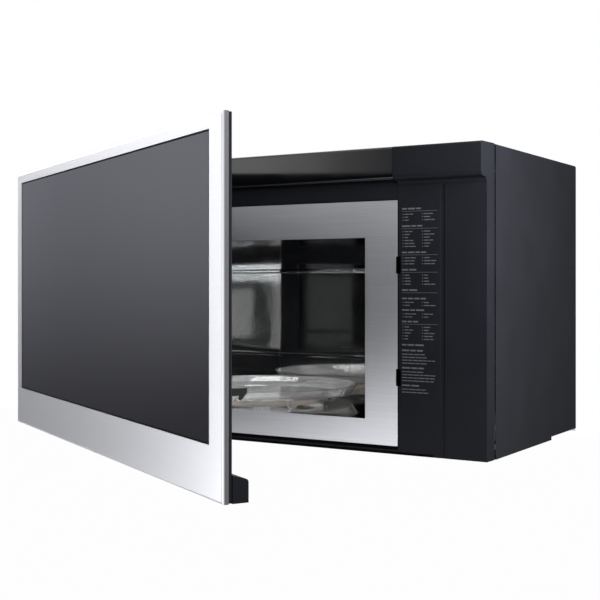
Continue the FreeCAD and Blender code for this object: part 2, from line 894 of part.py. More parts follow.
# Door
glass_left = left_x + window_left
glass_right = right_x - window_right
glass_top = door_top - window_top
glass_bottom = door_bottom + window_bottom
skin_y = door_face_y + door_skin
glass_back = door_face_y + glass_inset + glass_thickness
choke_left = cavity_left - choke_overlap / 2
choke_right = cavity_right + choke_overlap
choke_top = cavity_top + choke_overlap
choke_bottom = door_bottom + grip_height_front + grip_clearance
choke_rear = door_back_y + choke_depth - choke_cover_thickness
view_left = choke_left + choke_band
view_right = choke_right - choke_band
view_top = choke_top - choke_band
view_bottom = choke_bottom + choke_band


def front_edges(shape):
    front = shape.BoundBox.YMin
    return [edge for edge in shape.Edges if edge.BoundBox.YMax - front < seam_gap]


def make_door_steel_frame():
    # Folded sheet with a rounded front edge and a return round all four sides.
    skin = box(left_x, right_x, door_face_y, skin_y, door_bottom, door_top)
    skin = skin.makeFillet(skin_edge, front_edges(skin))
    wall = skin_sheet
    hollow = box(left_x + wall, right_x - wall, door_face_y + wall, skin_y + overcut, door_bottom + wall,
                 door_top - wall)
    hollow = hollow.makeChamfer(skin_edge - wall, front_edges(hollow))
    window = box(glass_left, glass_right, door_face_y - overcut, skin_y, glass_bottom, glass_top)
    return skin.cut([hollow, window])


def make_door_glass():
    gap = glass_reveal
    return box(glass_left + gap, glass_right - gap, door_face_y + glass_inset, glass_back, glass_bottom + gap,
               glass_top - gap)


def make_door_back_frame():
    # Moulding that fills the folded skin, holds the glass in a pocket and shows as a dark edge behind it.
    inset = back_frame_inset
    rim = box(left_x + inset, right_x - inset, skin_y, door_back_y, door_bottom + inset, door_top - inset)
    rim = rim.makeChamfer(2 * inset, edges_along(rim, (0, 0, 1), lambda c: c.y > door_back_y - inset))
    lap = skin_sheet + seam_gap
    core = box(left_x + lap, right_x - lap, door_face_y + lap, skin_y, door_bottom + lap, door_top - lap)
    core = core.makeChamfer(skin_edge - skin_sheet, front_edges(core))
    pocket = box(glass_left, glass_right, door_face_y, glass_back, glass_bottom, glass_top)
    view = box(view_left, view_right, door_face_y, door_back_y + overcut, view_bottom, view_top)
    return joined(rim, core).cut([pocket, view])


def make_choke_frame():
    # Folded ring with a U section that opens to the cavity and has a slit inner lip.
    wall = choke_wall
    ring = box(choke_left, choke_right, door_back_y, choke_rear, choke_bottom, choke_top)
    open_rear = choke_rear + overcut
    ring = ring.cut(box(view_left, view_right, door_back_y - overcut, open_rear, view_bottom, view_top))
    trough = box(choke_left + wall, choke_right - wall, door_back_y + wall, open_rear, choke_bottom + wall,
                 choke_top - wall)
    island = box(view_left - wall, view_right + wall, door_back_y, open_rear + overcut, view_bottom - wall,
                 view_top + wall)
    ring = ring.cut(trough.cut(island))
    cuts = []
    half = choke_slit_width / 2
    y0 = door_back_y + choke_depth / 3
    columns = int((view_right - view_left) / choke_slit_pitch)
    rows = int((view_top - view_bottom) / choke_slit_pitch)
    for index in range(1, columns):
        x = view_left + index * (view_right - view_left) / columns
        for z in (view_bottom, view_top):
            cuts.append(box(x - half, x + half, y0, open_rear, z - 2 * wall, z + 2 * wall))
    for index in range(1, rows):
        z = view_bottom + index * (view_top - view_bottom) / rows
        for x in (view_left, view_right):
            cuts.append(box(x - 2 * wall, x + 2 * wall, y0, open_rear, z - half, z + half))
    return ring.cut(cuts)


latch_box_left = choke_right + seam_gap
latch_box_right = plate_right + choke_overlap / 3
latch_rear = door_back_y + choke_depth


def make_choke_cover():
    # Snap-in cover over the choke, with the latch housing moulded on its right.
    ring = box(choke_left, latch_box_right, choke_rear, latch_rear, choke_bottom, choke_top)
    house = box(latch_box_left, latch_box_right, door_back_y, latch_rear, choke_bottom, choke_top)
    cover = joined(ring, house)
    cover = rounded(cover, choke_cover_thickness / 2, (0, 0, 1), lambda c: c.y > latch_rear - seam_gap)
    wall = latch_wall
    cuts = [box(view_left, view_right, choke_rear - overcut, latch_rear + overcut, view_bottom, view_top)]
    cuts.append(box(latch_box_left + wall, latch_box_right - wall, door_back_y - overcut, latch_rear - wall,
                    choke_bottom + wall, choke_top - wall))
    for z0, z1 in hook_slots():
        cuts.append(box(hook_left - hook_play, hook_right + hook_play, latch_rear - 2 * wall,
                        latch_rear + overcut, z0, z1))
    return cover.cut(cuts)


def make_window_screen():
    gap = glass_gap
    y0 = door_back_y - plate_sheet
    return box(view_left + gap, view_right - gap, y0, door_back_y, view_bottom + gap, view_top - gap)


def make_inner_window():
    gap = glass_gap + choke_wall
    edge = choke_depth / 3 - gap
    return box(view_left + gap - choke_wall, view_right - gap + choke_wall, door_back_y + gap,
               door_back_y + edge, view_bottom + gap - choke_wall, view_top - gap + choke_wall)


def make_door_grip():
    # Bottom strip that the fingers pull, with a sloping top and a scooped underside.
    x0 = left_x + grip_left_inset
    length = right_x - back_frame_inset - x0
    rear = door_back_y + grip_depth
    points = [(x0, door_back_y, door_bottom), (x0, rear, door_bottom),
              (x0, rear, door_bottom + grip_height_rear), (x0, door_back_y, door_bottom + grip_height_front)]
    strip = prism(points, (length, 0, 0))
    strip = rounded(strip, grip_round, (1, 0, 0),
                    lambda c: c.y > rear - seam_gap and c.z > door_bottom + seam_gap)
    scoop_y = rear - grip_depth / 3
    scoop_z = door_bottom + scoop_height - scoop_radius
    scoop = rod(scoop_radius, (x0 + scoop_end, scoop_y, scoop_z), (x0 + length - scoop_end, scoop_y, scoop_z))
    return strip.cut(scoop)


def hook(z, reach):
    # Arm with a barb at its tip that points down and a sloped nose that rides over the strike.
    tip = door_face_y + reach
    root = latch_bar_y
    heel = tip - hook_head
    low = z + hook_barb
    high = low + hook_height
    profile = [(root, low), (heel, low), (heel, z), (heel + hook_barb / 2, z), (tip, low + hook_height / 3),
               (tip, high), (root, high)]
    return prism([(hook_left, y, level) for y, level in profile], (latch_width, 0, 0))


latch_bar_y = door_back_y + latch_wall + hook_play


def make_door_latch():
    middle = (hook_left + hook_right) / 2
    half = latch_bar_width / 2
    low = lower_hook_z - hook_height
    high = upper_hook_z + 3 * hook_height
    bar = box(middle - half, middle + half, latch_bar_y, latch_bar_y + latch_bar_thickness, low, high)
    return joined(bar, hook(upper_hook_z, upper_hook_reach), hook(lower_hook_z, lower_hook_reach))


# Interlock behind the front plate
bracket_right = (hook_left + hook_right - switch_width) / 2


def make_interlock_bracket():
    # Angle behind the front plate, just left of the hooks, that carries the two switches.
    top = upper_hook_z + 5 * hook_height
    low = lower_hook_z - 3 * hook_height
    rear = door_face_y + lower_hook_reach + plunger_gap + plunger_stand + switch_length
    plate = box(bracket_right - bracket_sheet, bracket_right, cavity_front, rear, low, top)
    flange = box(cavity_right + 4 * sheet, bracket_right, cavity_front, cavity_front + bracket_sheet,
                 low, top)
    return joined(plate, flange)


def switch_seat(z, reach):
    front = door_face_y + reach + plunger_gap + plunger_stand
    middle = z + hook_barb + hook_height / 2
    return front, middle


def make_switch(z, reach):
    front, middle = switch_seat(z, reach)
    rear = front + switch_length
    half = switch_height / 2
    body = box(bracket_right, bracket_right + switch_width, front, rear, middle - half, middle + half)
    x = (hook_left + hook_right) / 2
    bore = plunger_half + running_clearance
    way = box(x - bore, x + bore, front - overcut, front + switch_length / 3, middle - bore, middle + bore)
    tags = []
    for level in (middle - half / 2, middle + half / 2):
        tags.append(box(x - tag_sheet / 2, x + tag_sheet / 2, rear, rear + tag_length, level - tag_width / 2,
                        level + tag_width / 2))
    return joined(body.cut(way), *tags)


def make_plunger(z, reach):
    front, middle = switch_seat(z, reach)
    x = (hook_left + hook_right) / 2
    half = plunger_half
    return box(x - half, x + half, front - plunger_stand, front + switch_length / 6,
               middle - half, middle + half)


# Turntable
roller_z = recess_z + seat_gap + roller_radius
tray_z = roller_z + roller_radius + seat_gap


def make_glass_tray():
    # Round dish with a sloping rim, and three lugs below that the coupler's arms push.
    thick = tray_thickness
    outer = tray_radius
    slope = 2 * thick
    profile = [(0, 0), (outer - slope, 0), (outer, tray_rim + thick), (outer - thick, tray_rim + thick),
               (outer - slope - thick / 2, thick), (0, thick)]
    corners = [Vector(radius, 0, tray_z + level) for radius, level in profile]
    dish = Part.Face(Part.makePolygon(corners + corners[:1])).revolve(Vector(0, 0, 0), Vector(0, 0, 1), 360)
    lugs = []
    for index in range(3):
        lug = box(coupler_radius + thick / 2, coupler_radius + 3 * thick / 2, -thick / 2, thick / 2,
                  tray_z - thick / 2, tray_z + thick / 2)
        lug.rotate(Vector(0, 0, 0), Vector(0, 0, 1), 60 + index * 120)
        lugs.append(lug)
    tray = joined(dish, *lugs)
    tray.translate(Vector(cavity_middle_x, cavity_middle_y, 0))
    return tray


def make_turntable_coupler():
    arm_top = tray_z - seat_gap
    hub_low = recess_z + seat_gap
    shaft_low = recess_z - sheet - turntable_motor_height / 2
    hub = drum(coupler_radius, hub_sides, (0, 0, hub_low), (0, 0, arm_top))
    pieces = [rod(coupler_shaft, (0, 0, shaft_low), (0, 0, hub_low + tray_thickness))]
    half = tray_thickness / 2
    for index in range(3):
        arm = box(0, coupler_radius + 2 * tray_thickness, -half, half, arm_top - tray_thickness, arm_top)
        arm.rotate(Vector(0, 0, 0), Vector(0, 0, 1), index * 120)
        pieces.append(arm)
    coupler = joined(hub, *pieces)
    coupler.translate(Vector(cavity_middle_x, cavity_middle_y, 0))
    return coupler


def make_turntable_motor():
    top = recess_z - sheet
    low = top - turntable_motor_height
    body = drum(turntable_motor_radius, motor_sides, (0, 0, low), (0, 0, top))
    reach = turntable_motor_radius + motor_ear
    ears = box(-reach, reach, -motor_ear / 2, motor_ear / 2, top - bracket_sheet, top)
    bore_low = recess_z - sheet - turntable_motor_height / 2 - seat_gap
    bore = bearing(coupler_shaft, (0, 0, bore_low), (0, 0, top + overcut))
    motor = joined(body, ears).cut(bore)
    motor.translate(Vector(cavity_middle_x, cavity_middle_y, 0))
    return motor


roller_inner = roller_circle - roller_width / 2
roller_outer = roller_circle + roller_width / 2


def make_roller_ring():
    outer = roller_inner - seat_gap
    low = roller_z - ring_height / 2
    high = low + ring_height
    ring = drum(outer, ring_sides, (0, 0, low), (0, 0, high))
    ring = ring.cut(drum(outer - ring_width, ring_sides, (0, 0, low), (0, 0, high)))
    axles = []
    for index in range(3):
        axle = drum(roller_axle, hub_sides, (outer - ring_width / 2, 0, roller_z),
                    (roller_outer + axle_stand, 0, roller_z))
        axle.rotate(Vector(0, 0, 0), Vector(0, 0, 1), 90 + index * 120)
        axles.append(axle)
    ring = joined(ring, *axles)
    ring.translate(Vector(cavity_middle_x, cavity_middle_y, 0))
    return ring


def make_roller(index):
    start = (roller_inner, 0, roller_z)
    end = (roller_outer, 0, roller_z)
    roller = drum(roller_radius, roller_sides, start, end).cut(bearing(roller_axle, start, end))
    roller.rotate(Vector(0, 0, 0), Vector(0, 0, 1), 90 + index * 120)
    roller.translate(Vector(cavity_middle_x, cavity_middle_y, 0))
    return roller


# Vent blower
def scroll_outline(x):
    # Three quarter turns of growing radius in short flats, then a straight throat up to the top.
    radius = scroll_start
    y = blower_y
    z = blower_z
    start = Vector(x, y, z + radius)
    edges = []
    point = start
    for angle in (90, 180, 270):
        for step in range(1, scroll_steps + 1):
            turn = math.radians(angle + step * 90 / scroll_steps)
            end = Vector(x, y + radius * math.cos(turn), z + radius * math.sin(turn))
            edges.append(Part.LineSegment(point, end).toShape())
            point = end
        y -= scroll_growth * math.cos(turn)
        z -= scroll_growth * math.sin(turn)
        radius += scroll_growth
    top_right = Vector(x, point.y, inside_top)
    top_left = Vector(x, start.y, inside_top)
    for first, second in ((point, top_right), (top_right, top_left), (top_left, start)):
        edges.append(Part.LineSegment(first, second).toShape())
    return Part.Wire(edges)


def make_vent_scroll(side):
    x0 = vent_motor_length / 2
    outline = scroll_outline(x0)
    outer = Part.Face(outline).extrude(Vector(scroll_width, 0, 0))
    inner_face = Part.Face(outline).makeOffset2D(-scroll_wall)
    inner = inner_face.extrude(Vector(scroll_width - 2 * scroll_wall, 0, 0))
    inner.translate(Vector(scroll_wall, 0, 0))
    throat = box(x0 + scroll_wall, x0 + scroll_width - scroll_wall, blower_y + scroll_wall,
                 outline.BoundBox.YMax - scroll_wall, inside_top - 2 * scroll_wall, inside_top + overcut)
    axis0 = (x0 - overcut, blower_y, blower_z)
    axis1 = (x0 + scroll_width / 2, blower_y, blower_z)
    axis2 = (x0 + scroll_width + overcut, blower_y, blower_z)
    shaft_way = drum(3 * vent_shaft_radius, hub_sides, axis0, axis1)
    inlet = drum(blower_wheel_radius - inlet_lip, wheel_sides, axis1, axis2)
    scroll = outer.cut([inner, throat, shaft_way, inlet])
    if side < 0:
        scroll = scroll.mirror(Vector(0, 0, 0), Vector(1, 0, 0))
    return scroll


wheel_gap = (scroll_width - blower_wheel_length) / 2


def make_vent_wheel(side):
    # Squirrel-cage wheel: back disc with a boss, a front ring and slanted blades between them.
    x0 = vent_motor_length / 2 + wheel_gap
    x1 = x0 + blower_wheel_length
    at = (blower_y, blower_z)
    radius = blower_wheel_radius
    disc = wheel_disc
    hub = drum(2.5 * vent_shaft_radius, hub_sides, (x0, *at), (x0 + blower_wheel_length / 4, *at))
    back = drum(radius, wheel_sides, (x0, *at), (x0 + disc, *at))
    ring = drum(radius, wheel_sides, (x1 - disc, *at), (x1, *at))
    ring = ring.cut(drum(radius - wheel_ring, wheel_sides, (x1 - 2 * disc, *at), (x1 + disc, *at)))
    half = blade_thickness / 2
    tip = blower_z + radius - half
    blades = []
    for index in range(blower_blades):
        blade = box(x0 + disc / 2, x1 - disc / 2, blower_y - half, blower_y + half, tip - blade_chord, tip)
        blade.rotate(Vector(x0, blower_y, tip - blade_chord / 2), Vector(1, 0, 0), blade_pitch)
        blade.rotate(Vector(x0, *at), Vector(1, 0, 0), index * 360.0 / blower_blades)
        blades.append(blade)
    wheel = joined(hub, back, ring, *blades)
    wheel = wheel.cut(bearing(vent_shaft_radius, (x0 - overcut, *at), (x1 + overcut, *at)))
    if side < 0:
        wheel = wheel.mirror(Vector(0, 0, 0), Vector(1, 0, 0))
    return wheel


def make_vent_shaft():
    reach = vent_motor_length / 2 + wheel_gap + blower_wheel_length / 4
    return rod(vent_shaft_radius, (-reach, blower_y, blower_z), (reach, blower_y, blower_z))


def make_vent_motor():
    # Laminated stack with its corners cut, between two end bells that carry the shaft.
    half = vent_motor_length / 2
    stack = half - vent_motor_bell
    reach = vent_motor_radius
    at = (blower_y, blower_z)
    body = box(-stack, stack, blower_y - reach, blower_y + reach, blower_z - reach, blower_z + reach)
    body = body.makeChamfer(reach / 2, edges_along(body, (1, 0, 0), lambda c: True))
    bells = drum(reach - vent_motor_bell / 2, motor_sides, (-half, *at), (half, *at))
    bore = bearing(vent_shaft_radius, (-half - overcut, *at), (half + overcut, *at))
    return joined(body, bells).cut(bore)


# Exhaust outlet on the top
duct_left = -outlet_half_width - adaptor_margin
duct_right = outlet_half_width + adaptor_margin
duct_front = outlet_front - adaptor_margin
duct_rear = outlet_rear + adaptor_margin
flap_z = top_z + flap_rise
flap_pin_y = duct_rear - flap_setback


def make_exhaust_adaptor():
    flange = box(duct_left - adaptor_flange, duct_right + adaptor_flange, duct_front - adaptor_flange,
                 duct_rear + adaptor_flange, top_z, top_z + adaptor_wall)
    collar = box(duct_left, duct_right, duct_front, duct_rear, top_z, top_z + adaptor_height)
    bore = box(duct_left + adaptor_wall, duct_right - adaptor_wall, duct_front + adaptor_wall,
               duct_rear - adaptor_wall, top_z - overcut, top_z + adaptor_height + overcut)
    eyes = bearing(flap_thickness, (duct_left - overcut, flap_pin_y, flap_z),
                   (duct_right + overcut, flap_pin_y, flap_z))
    return joined(flange, collar).cut([bore, eyes])


def make_damper_flap():
    side = adaptor_wall + seat_gap
    half = flap_thickness / 2
    flap = box(duct_left + side, duct_right - side, duct_front + side, flap_pin_y,
               flap_z - half, flap_z + half)
    pin = drum(flap_thickness, hub_sides, (duct_left, flap_pin_y, flap_z), (duct_right, flap_pin_y, flap_z))
    return joined(flap, pin)


def make_cord_bushing():
    sides = bushing_sides
    at = (bushing_x, bushing_y)
    flange = drum(bushing_radius + bushing_flange, sides, (*at, top_z), (*at, top_z + bushing_flange))
    low = inside_top - bushing_flange
    neck = drum(bushing_radius - seat_gap / 2, sides, (*at, low), (*at, top_z))
    bore = drum(bushing_bore, sides, (*at, low - overcut), (*at, top_z + bushing_flange + overcut))
    return joined(flange, neck).cut(bore)


# Base fittings
def make_grease_filter(x):
    half = filter_width / 2
    z0 = base_top + seat_gap / 3
    z1 = z0 + filter_thickness
    frame = box(x - half, x + half, filter_front, filter_rear, z0, z1)
    rim = filter_lip + filter_rim
    cuts = []
    for z in (z0 - overcut, z1 - overcut):
        cuts.append(box(x - half + rim, x + half - rim, filter_front + rim, filter_rear - rim,
                        z, z + 2 * overcut))
    return frame.cut(cuts)


def make_lamp_lens():
    half = lens_width / 2
    top = box(-half, half, lens_front, lens_rear, base_top, base_top + lens_thickness)
    gap = lens_thickness + glass_gap
    window = box(-half + gap, half - gap, lens_front + gap, lens_rear - gap,
                 bottom_z, base_top + lens_thickness)
    return joined(top, window)


lamp_x = (cavity_left + cavity_middle_x) / 2


def make_cavity_lamp():
    z0 = cavity_top + sheet
    radius = bulb_radius
    foot = box(lamp_x - 2 * radius, lamp_x + 2 * radius, cavity_middle_y - radius,
               cavity_middle_y + radius, z0, z0 + bracket_sheet)
    bulb = drum(radius, hub_sides, (lamp_x, cavity_middle_y, z0), (lamp_x, cavity_middle_y, z0 + 2 * radius))
    return joined(foot, bulb)


cabinet = {
    "outer_wrap": make_outer_wrap(),
    "back_panel": make_back_panel(),
    "base_panel": make_base_panel(),
    "front_frame": make_front_frame(),
    "control_panel": make_control_panel(),
    "vent_grille": make_vent_grille(),
    "charcoal_filter": make_charcoal_filter(),
    "cavity_front_plate": make_cavity_front_plate(),
    "cavity_liner": make_cavity_liner(),
    "waveguide_cover": make_waveguide_cover(),
    "waveguide": make_waveguide(),
    "magnetron": make_magnetron(),
    "transformer_core": make_transformer_core(),
    "transformer_coils": make_transformer_coils(),
    "hv_capacitor": make_hv_capacitor(),
    "fan_shroud": make_fan_shroud(),
    "cooling_fan_motor": make_cooling_fan_motor(),
    "cooling_fan": make_cooling_fan(),
    "control_board": make_control_board(),
    "upper_hinge_bracket": make_hinge_bracket(upper_bracket_z),
    "lower_hinge_bracket": make_hinge_bracket(lower_bracket_z),
    "upper_hinge_pin": make_hinge_pin(upper_arm_z - pin_stand, header_z - moulding),
    "lower_hinge_pin": make_hinge_pin(lower_bracket_z, lower_arm_top + pin_stand),
    "interlock_bracket": make_interlock_bracket(),
    "upper_switch": make_switch(upper_hook_z, upper_hook_reach),
    "lower_switch": make_switch(lower_hook_z, lower_hook_reach),
    "upper_plunger": make_plunger(upper_hook_z, upper_hook_reach),
    "lower_plunger": make_plunger(lower_hook_z, lower_hook_reach),
    "turntable_motor": make_turntable_motor(),
    "turntable_coupler": make_turntable_coupler(),
    "glass_tray": make_glass_tray(),
    "roller_ring": make_roller_ring(),
    "roller_1": make_roller(0),
    "roller_2": make_roller(1),
    "roller_3": make_roller(2),
    "vent_motor": make_vent_motor(),
    "vent_shaft": make_vent_shaft(),
    "vent_scroll_left": make_vent_scroll(-1),
    "vent_scroll_right": make_vent_scroll(1),
    "vent_wheel_left": make_vent_wheel(-1),
    "vent_wheel_right": make_vent_wheel(1),
    "exhaust_adaptor": make_exhaust_adaptor(),
    "damper_flap": make_damper_flap(),
    "cord_bushing": make_cord_bushing(),
    "grease_filter_left": make_grease_filter(left_filter_x),
    "grease_filter_right": make_grease_filter(right_filter_x),
    "lamp_lens": make_lamp_lens(),
    "cavity_lamp": make_cavity_lamp(),
}

door = {
    "door_steel_frame": make_door_steel_frame(),
    "door_glass": make_door_glass(),
    "door_back_frame": make_door_back_frame(),
    "choke_frame": make_choke_frame(),
    "choke_cover": make_choke_cover(),
    "window_screen": make_window_screen(),
    "inner_window": make_inner_window(),
    "door_grip": make_door_grip(),
    "upper_hinge_arm": make_hinge_arm(upper_arm_z, False),
    "lower_hinge_arm": make_hinge_arm(lower_arm_z, True),
    "door_latch": make_door_latch(),
}

for name, shape in cabinet.items():
    save(name, shape)

for name, shape in door.items():
    save(name, ajar(shape))
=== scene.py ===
import json
import math
import random
import bpy
from mathutils import Matrix, Vector


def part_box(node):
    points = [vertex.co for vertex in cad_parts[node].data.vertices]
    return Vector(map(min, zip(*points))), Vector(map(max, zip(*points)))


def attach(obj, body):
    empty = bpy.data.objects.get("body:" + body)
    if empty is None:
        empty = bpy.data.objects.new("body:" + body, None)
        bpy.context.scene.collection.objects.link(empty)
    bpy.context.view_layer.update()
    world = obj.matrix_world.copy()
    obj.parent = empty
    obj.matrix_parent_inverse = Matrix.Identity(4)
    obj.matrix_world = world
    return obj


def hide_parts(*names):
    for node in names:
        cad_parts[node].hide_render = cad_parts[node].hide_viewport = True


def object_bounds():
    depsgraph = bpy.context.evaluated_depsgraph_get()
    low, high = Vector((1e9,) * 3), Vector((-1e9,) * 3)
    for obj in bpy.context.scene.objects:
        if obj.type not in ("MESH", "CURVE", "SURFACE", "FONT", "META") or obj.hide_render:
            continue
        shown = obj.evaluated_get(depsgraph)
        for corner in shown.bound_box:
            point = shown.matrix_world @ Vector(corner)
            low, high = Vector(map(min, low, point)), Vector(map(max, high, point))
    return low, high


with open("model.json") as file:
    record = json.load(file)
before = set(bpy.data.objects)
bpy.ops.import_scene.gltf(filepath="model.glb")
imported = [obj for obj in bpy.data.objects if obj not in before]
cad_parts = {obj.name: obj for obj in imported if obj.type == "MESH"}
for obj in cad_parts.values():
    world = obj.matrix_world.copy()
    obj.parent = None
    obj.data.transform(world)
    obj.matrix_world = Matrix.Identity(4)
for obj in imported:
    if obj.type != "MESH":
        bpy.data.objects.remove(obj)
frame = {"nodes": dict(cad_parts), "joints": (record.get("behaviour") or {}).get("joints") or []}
cadLow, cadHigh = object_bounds()  # the size that the looks stay inside
nodes = frame["nodes"]
joints = {joint["name"]: joint for joint in frame["joints"]}
mm = 0.001
doorTurn = -math.radians(joints["door_swing"]["range_deg"][1])  # the door is saved ajar by this much
hingeLine = Vector(joints["door_swing"]["pos_m"])
ajar = Matrix.Translation(hingeLine) @ Matrix.Rotation(doorTurn, 4, "Z") @ Matrix.Translation(-hingeLine)


def linear(code):  # sRGB hex to linear colour
    values = [int(code[i:i + 2], 16) / 255 for i in (0, 2, 4)]
    return tuple(v / 12.92 if v <= 0.04045 else ((v + 0.055) / 1.055) ** 2.4 for v in values) + (1.0,)


def addNode(tree, kind, sockets=None, **settings):  # a socket gets a value, or a link from another socket
    node = tree.nodes.new(kind)
    for name, value in settings.items():
        setattr(node, name, value)
    for name, value in (sockets or {}).items():
        if isinstance(value, bpy.types.NodeSocket):
            tree.links.new(value, node.inputs[name])
        else:
            node.inputs[name].default_value = value
    return node


def startMaterial(name, sockets):  # one shader, its tree and the place on the piece in metres
    material = bpy.data.materials.new(name)
    material.use_nodes = True
    tree = material.node_tree
    tree.nodes.clear()
    shader = addNode(tree, "ShaderNodeBsdfPrincipled", sockets)
    addNode(tree, "ShaderNodeOutputMaterial", {"Surface": shader.outputs["BSDF"]})
    place = addNode(tree, "ShaderNodeTexCoord").outputs["Object"]
    return material, tree, shader, place


def perMetre(sizeMm):  # texture scale that gives a pattern of this size
    return 1.0 / (sizeMm * mm)


noiseSpan = (0.3, 0.7)  # most values of a noise texture lie in here

# Metals, with sizes in mm. Brush lines are drawn coarser than the real 0.2 so that they show
brush = {"lineWidth": 1.3, "lineLength": 120.0, "cloud": 90.0, "cloudShare": 0.2, "relief": 0.05,
         "reliefStrength": 0.02}


def brushedStainless(name, dark, pale, roughLow, roughHigh, stretch, turn=0.0):
    # 430 stainless drawn over a belt: long level lines that spread a reflection up and down
    material, tree, shader, place = startMaterial(name, {"Metallic": 1.0, "Anisotropic": stretch,
                                                         "Anisotropic Rotation": 0.25})
    level = addNode(tree, "ShaderNodeMapping", {"Vector": place, "Rotation": (0, 0, -turn)}).outputs["Vector"]
    along = perMetre(brush["lineLength"])
    across = perMetre(brush["lineWidth"])
    drawn = addNode(tree, "ShaderNodeMapping", {"Vector": level, "Scale": (along, along, across)})
    lines = addNode(tree, "ShaderNodeTexNoise", {"Vector": drawn.outputs["Vector"], "Scale": 1.0,
                                                 "Detail": 3.0, "Roughness": 0.6}).outputs["Fac"]
    cloud = addNode(tree, "ShaderNodeTexNoise", {"Vector": level, "Scale": perMetre(brush["cloud"]),
                                                 "Detail": 2.0}).outputs["Fac"]
    both = addNode(tree, "ShaderNodeMix", {"Factor": brush["cloudShare"], 2: lines, 3: cloud}).outputs[0]
    ramp = addNode(tree, "ShaderNodeValToRGB", {"Fac": both})
    for element, position, tone in zip(ramp.color_ramp.elements, noiseSpan, (dark, pale)):
        element.position = position
        element.color = linear(tone)
    rough = addNode(tree, "ShaderNodeMapRange", {"Value": lines, "To Min": roughLow, "To Max": roughHigh})
    bump = addNode(tree, "ShaderNodeBump", {"Height": lines, "Strength": brush["reliefStrength"],
                                            "Distance": brush["relief"] * mm})
    around = addNode(tree, "ShaderNodeTangent", direction_type="RADIAL", axis="Z")
    tree.links.new(ramp.outputs["Color"], shader.inputs["Base Color"])
    tree.links.new(rough.outputs["Result"], shader.inputs["Roughness"])
    tree.links.new(bump.outputs["Normal"], shader.inputs["Normal"])
    tree.links.new(around.outputs["Tangent"], shader.inputs["Tangent"])
    return material


liner = {"wave": 70.0, "waveDepth": 0.12, "smear": 30.0, "smearSpan": (0.35, 0.7), "rough": (0.03, 0.07)}


def polishedStainless(name, tone):
    # mirror finished liner sheet: clear reflections that bend where the sheet was pressed
    material, tree, shader, place = startMaterial(name, {"Metallic": 1.0, "Base Color": linear(tone)})
    wave = addNode(tree, "ShaderNodeTexNoise", {"Vector": place, "Scale": perMetre(liner["wave"]),
                                                "Detail": 1.0})
    smear = addNode(tree, "ShaderNodeTexNoise", {"Vector": place, "Scale": perMetre(liner["smear"]),
                                                 "Detail": 4.0})
    rough = addNode(tree, "ShaderNodeMapRange", {
        "Value": smear.outputs["Fac"], "From Min": liner["smearSpan"][0], "From Max": liner["smearSpan"][1],
        "To Min": liner["rough"][0], "To Max": liner["rough"][1]})
    bump = addNode(tree, "ShaderNodeBump", {"Height": wave.outputs["Fac"], "Strength": 1.0,
                                            "Distance": liner["waveDepth"] * mm})
    tree.links.new(rough.outputs["Result"], shader.inputs["Roughness"])
    tree.links.new(bump.outputs["Normal"], shader.inputs["Normal"])
    return material


spangle = {"crystal": 7.0, "grain": 2.0, "grainShare": 0.35, "rough": (0.32, 0.5)}


def zincSheet(name, dark, pale):
    # hot dipped sheet: zinc crystals that catch the light one by one
    material, tree, shader, place = startMaterial(name, {"Metallic": 1.0})
    crystals = addNode(tree, "ShaderNodeTexVoronoi", {"Vector": place, "Scale": perMetre(spangle["crystal"])})
    tone = addNode(tree, "ShaderNodeSeparateColor", {"Color": crystals.outputs["Color"]}).outputs["Red"]
    fine = addNode(tree, "ShaderNodeTexNoise", {"Vector": place, "Scale": perMetre(spangle["grain"]),
                                                "Detail": 3.0}).outputs["Fac"]
    both = addNode(tree, "ShaderNodeMix", {"Factor": spangle["grainShare"], 2: tone, 3: fine}).outputs[0]
    ramp = addNode(tree, "ShaderNodeValToRGB", {"Fac": both})
    for element, colour in zip(ramp.color_ramp.elements, (dark, pale)):
        element.color = linear(colour)
    rough = addNode(tree, "ShaderNodeMapRange", {"Value": both, "To Min": spangle["rough"][0],
                                                 "To Max": spangle["rough"][1]})
    tree.links.new(ramp.outputs["Color"], shader.inputs["Base Color"])
    tree.links.new(rough.outputs["Result"], shader.inputs["Roughness"])
    return material


toolMark = 3.0  # mm


def turnedMetal(name, dark, pale, roughLow, roughHigh):
    # drawn, turned or pressed metal: short fine marks and a soft shine
    material, tree, shader, place = startMaterial(name, {"Metallic": 1.0})
    marks = addNode(tree, "ShaderNodeTexNoise", {"Vector": place, "Scale": perMetre(toolMark),
                                                 "Detail": 5.0}).outputs["Fac"]
    ramp = addNode(tree, "ShaderNodeValToRGB", {"Fac": marks})
    for element, position, tone in zip(ramp.color_ramp.elements, noiseSpan, (dark, pale)):
        element.position = position
        element.color = linear(tone)
    rough = addNode(tree, "ShaderNodeMapRange", {"Value": marks, "To Min": roughLow, "To Max": roughHigh})
    tree.links.new(ramp.outputs["Color"], shader.inputs["Base Color"])
    tree.links.new(rough.outputs["Result"], shader.inputs["Roughness"])
    return material


# Paint and mouldings
skin = {"cloud": 60.0, "cloudShare": 0.5, "reliefStrength": 0.5}  # cloud in mm


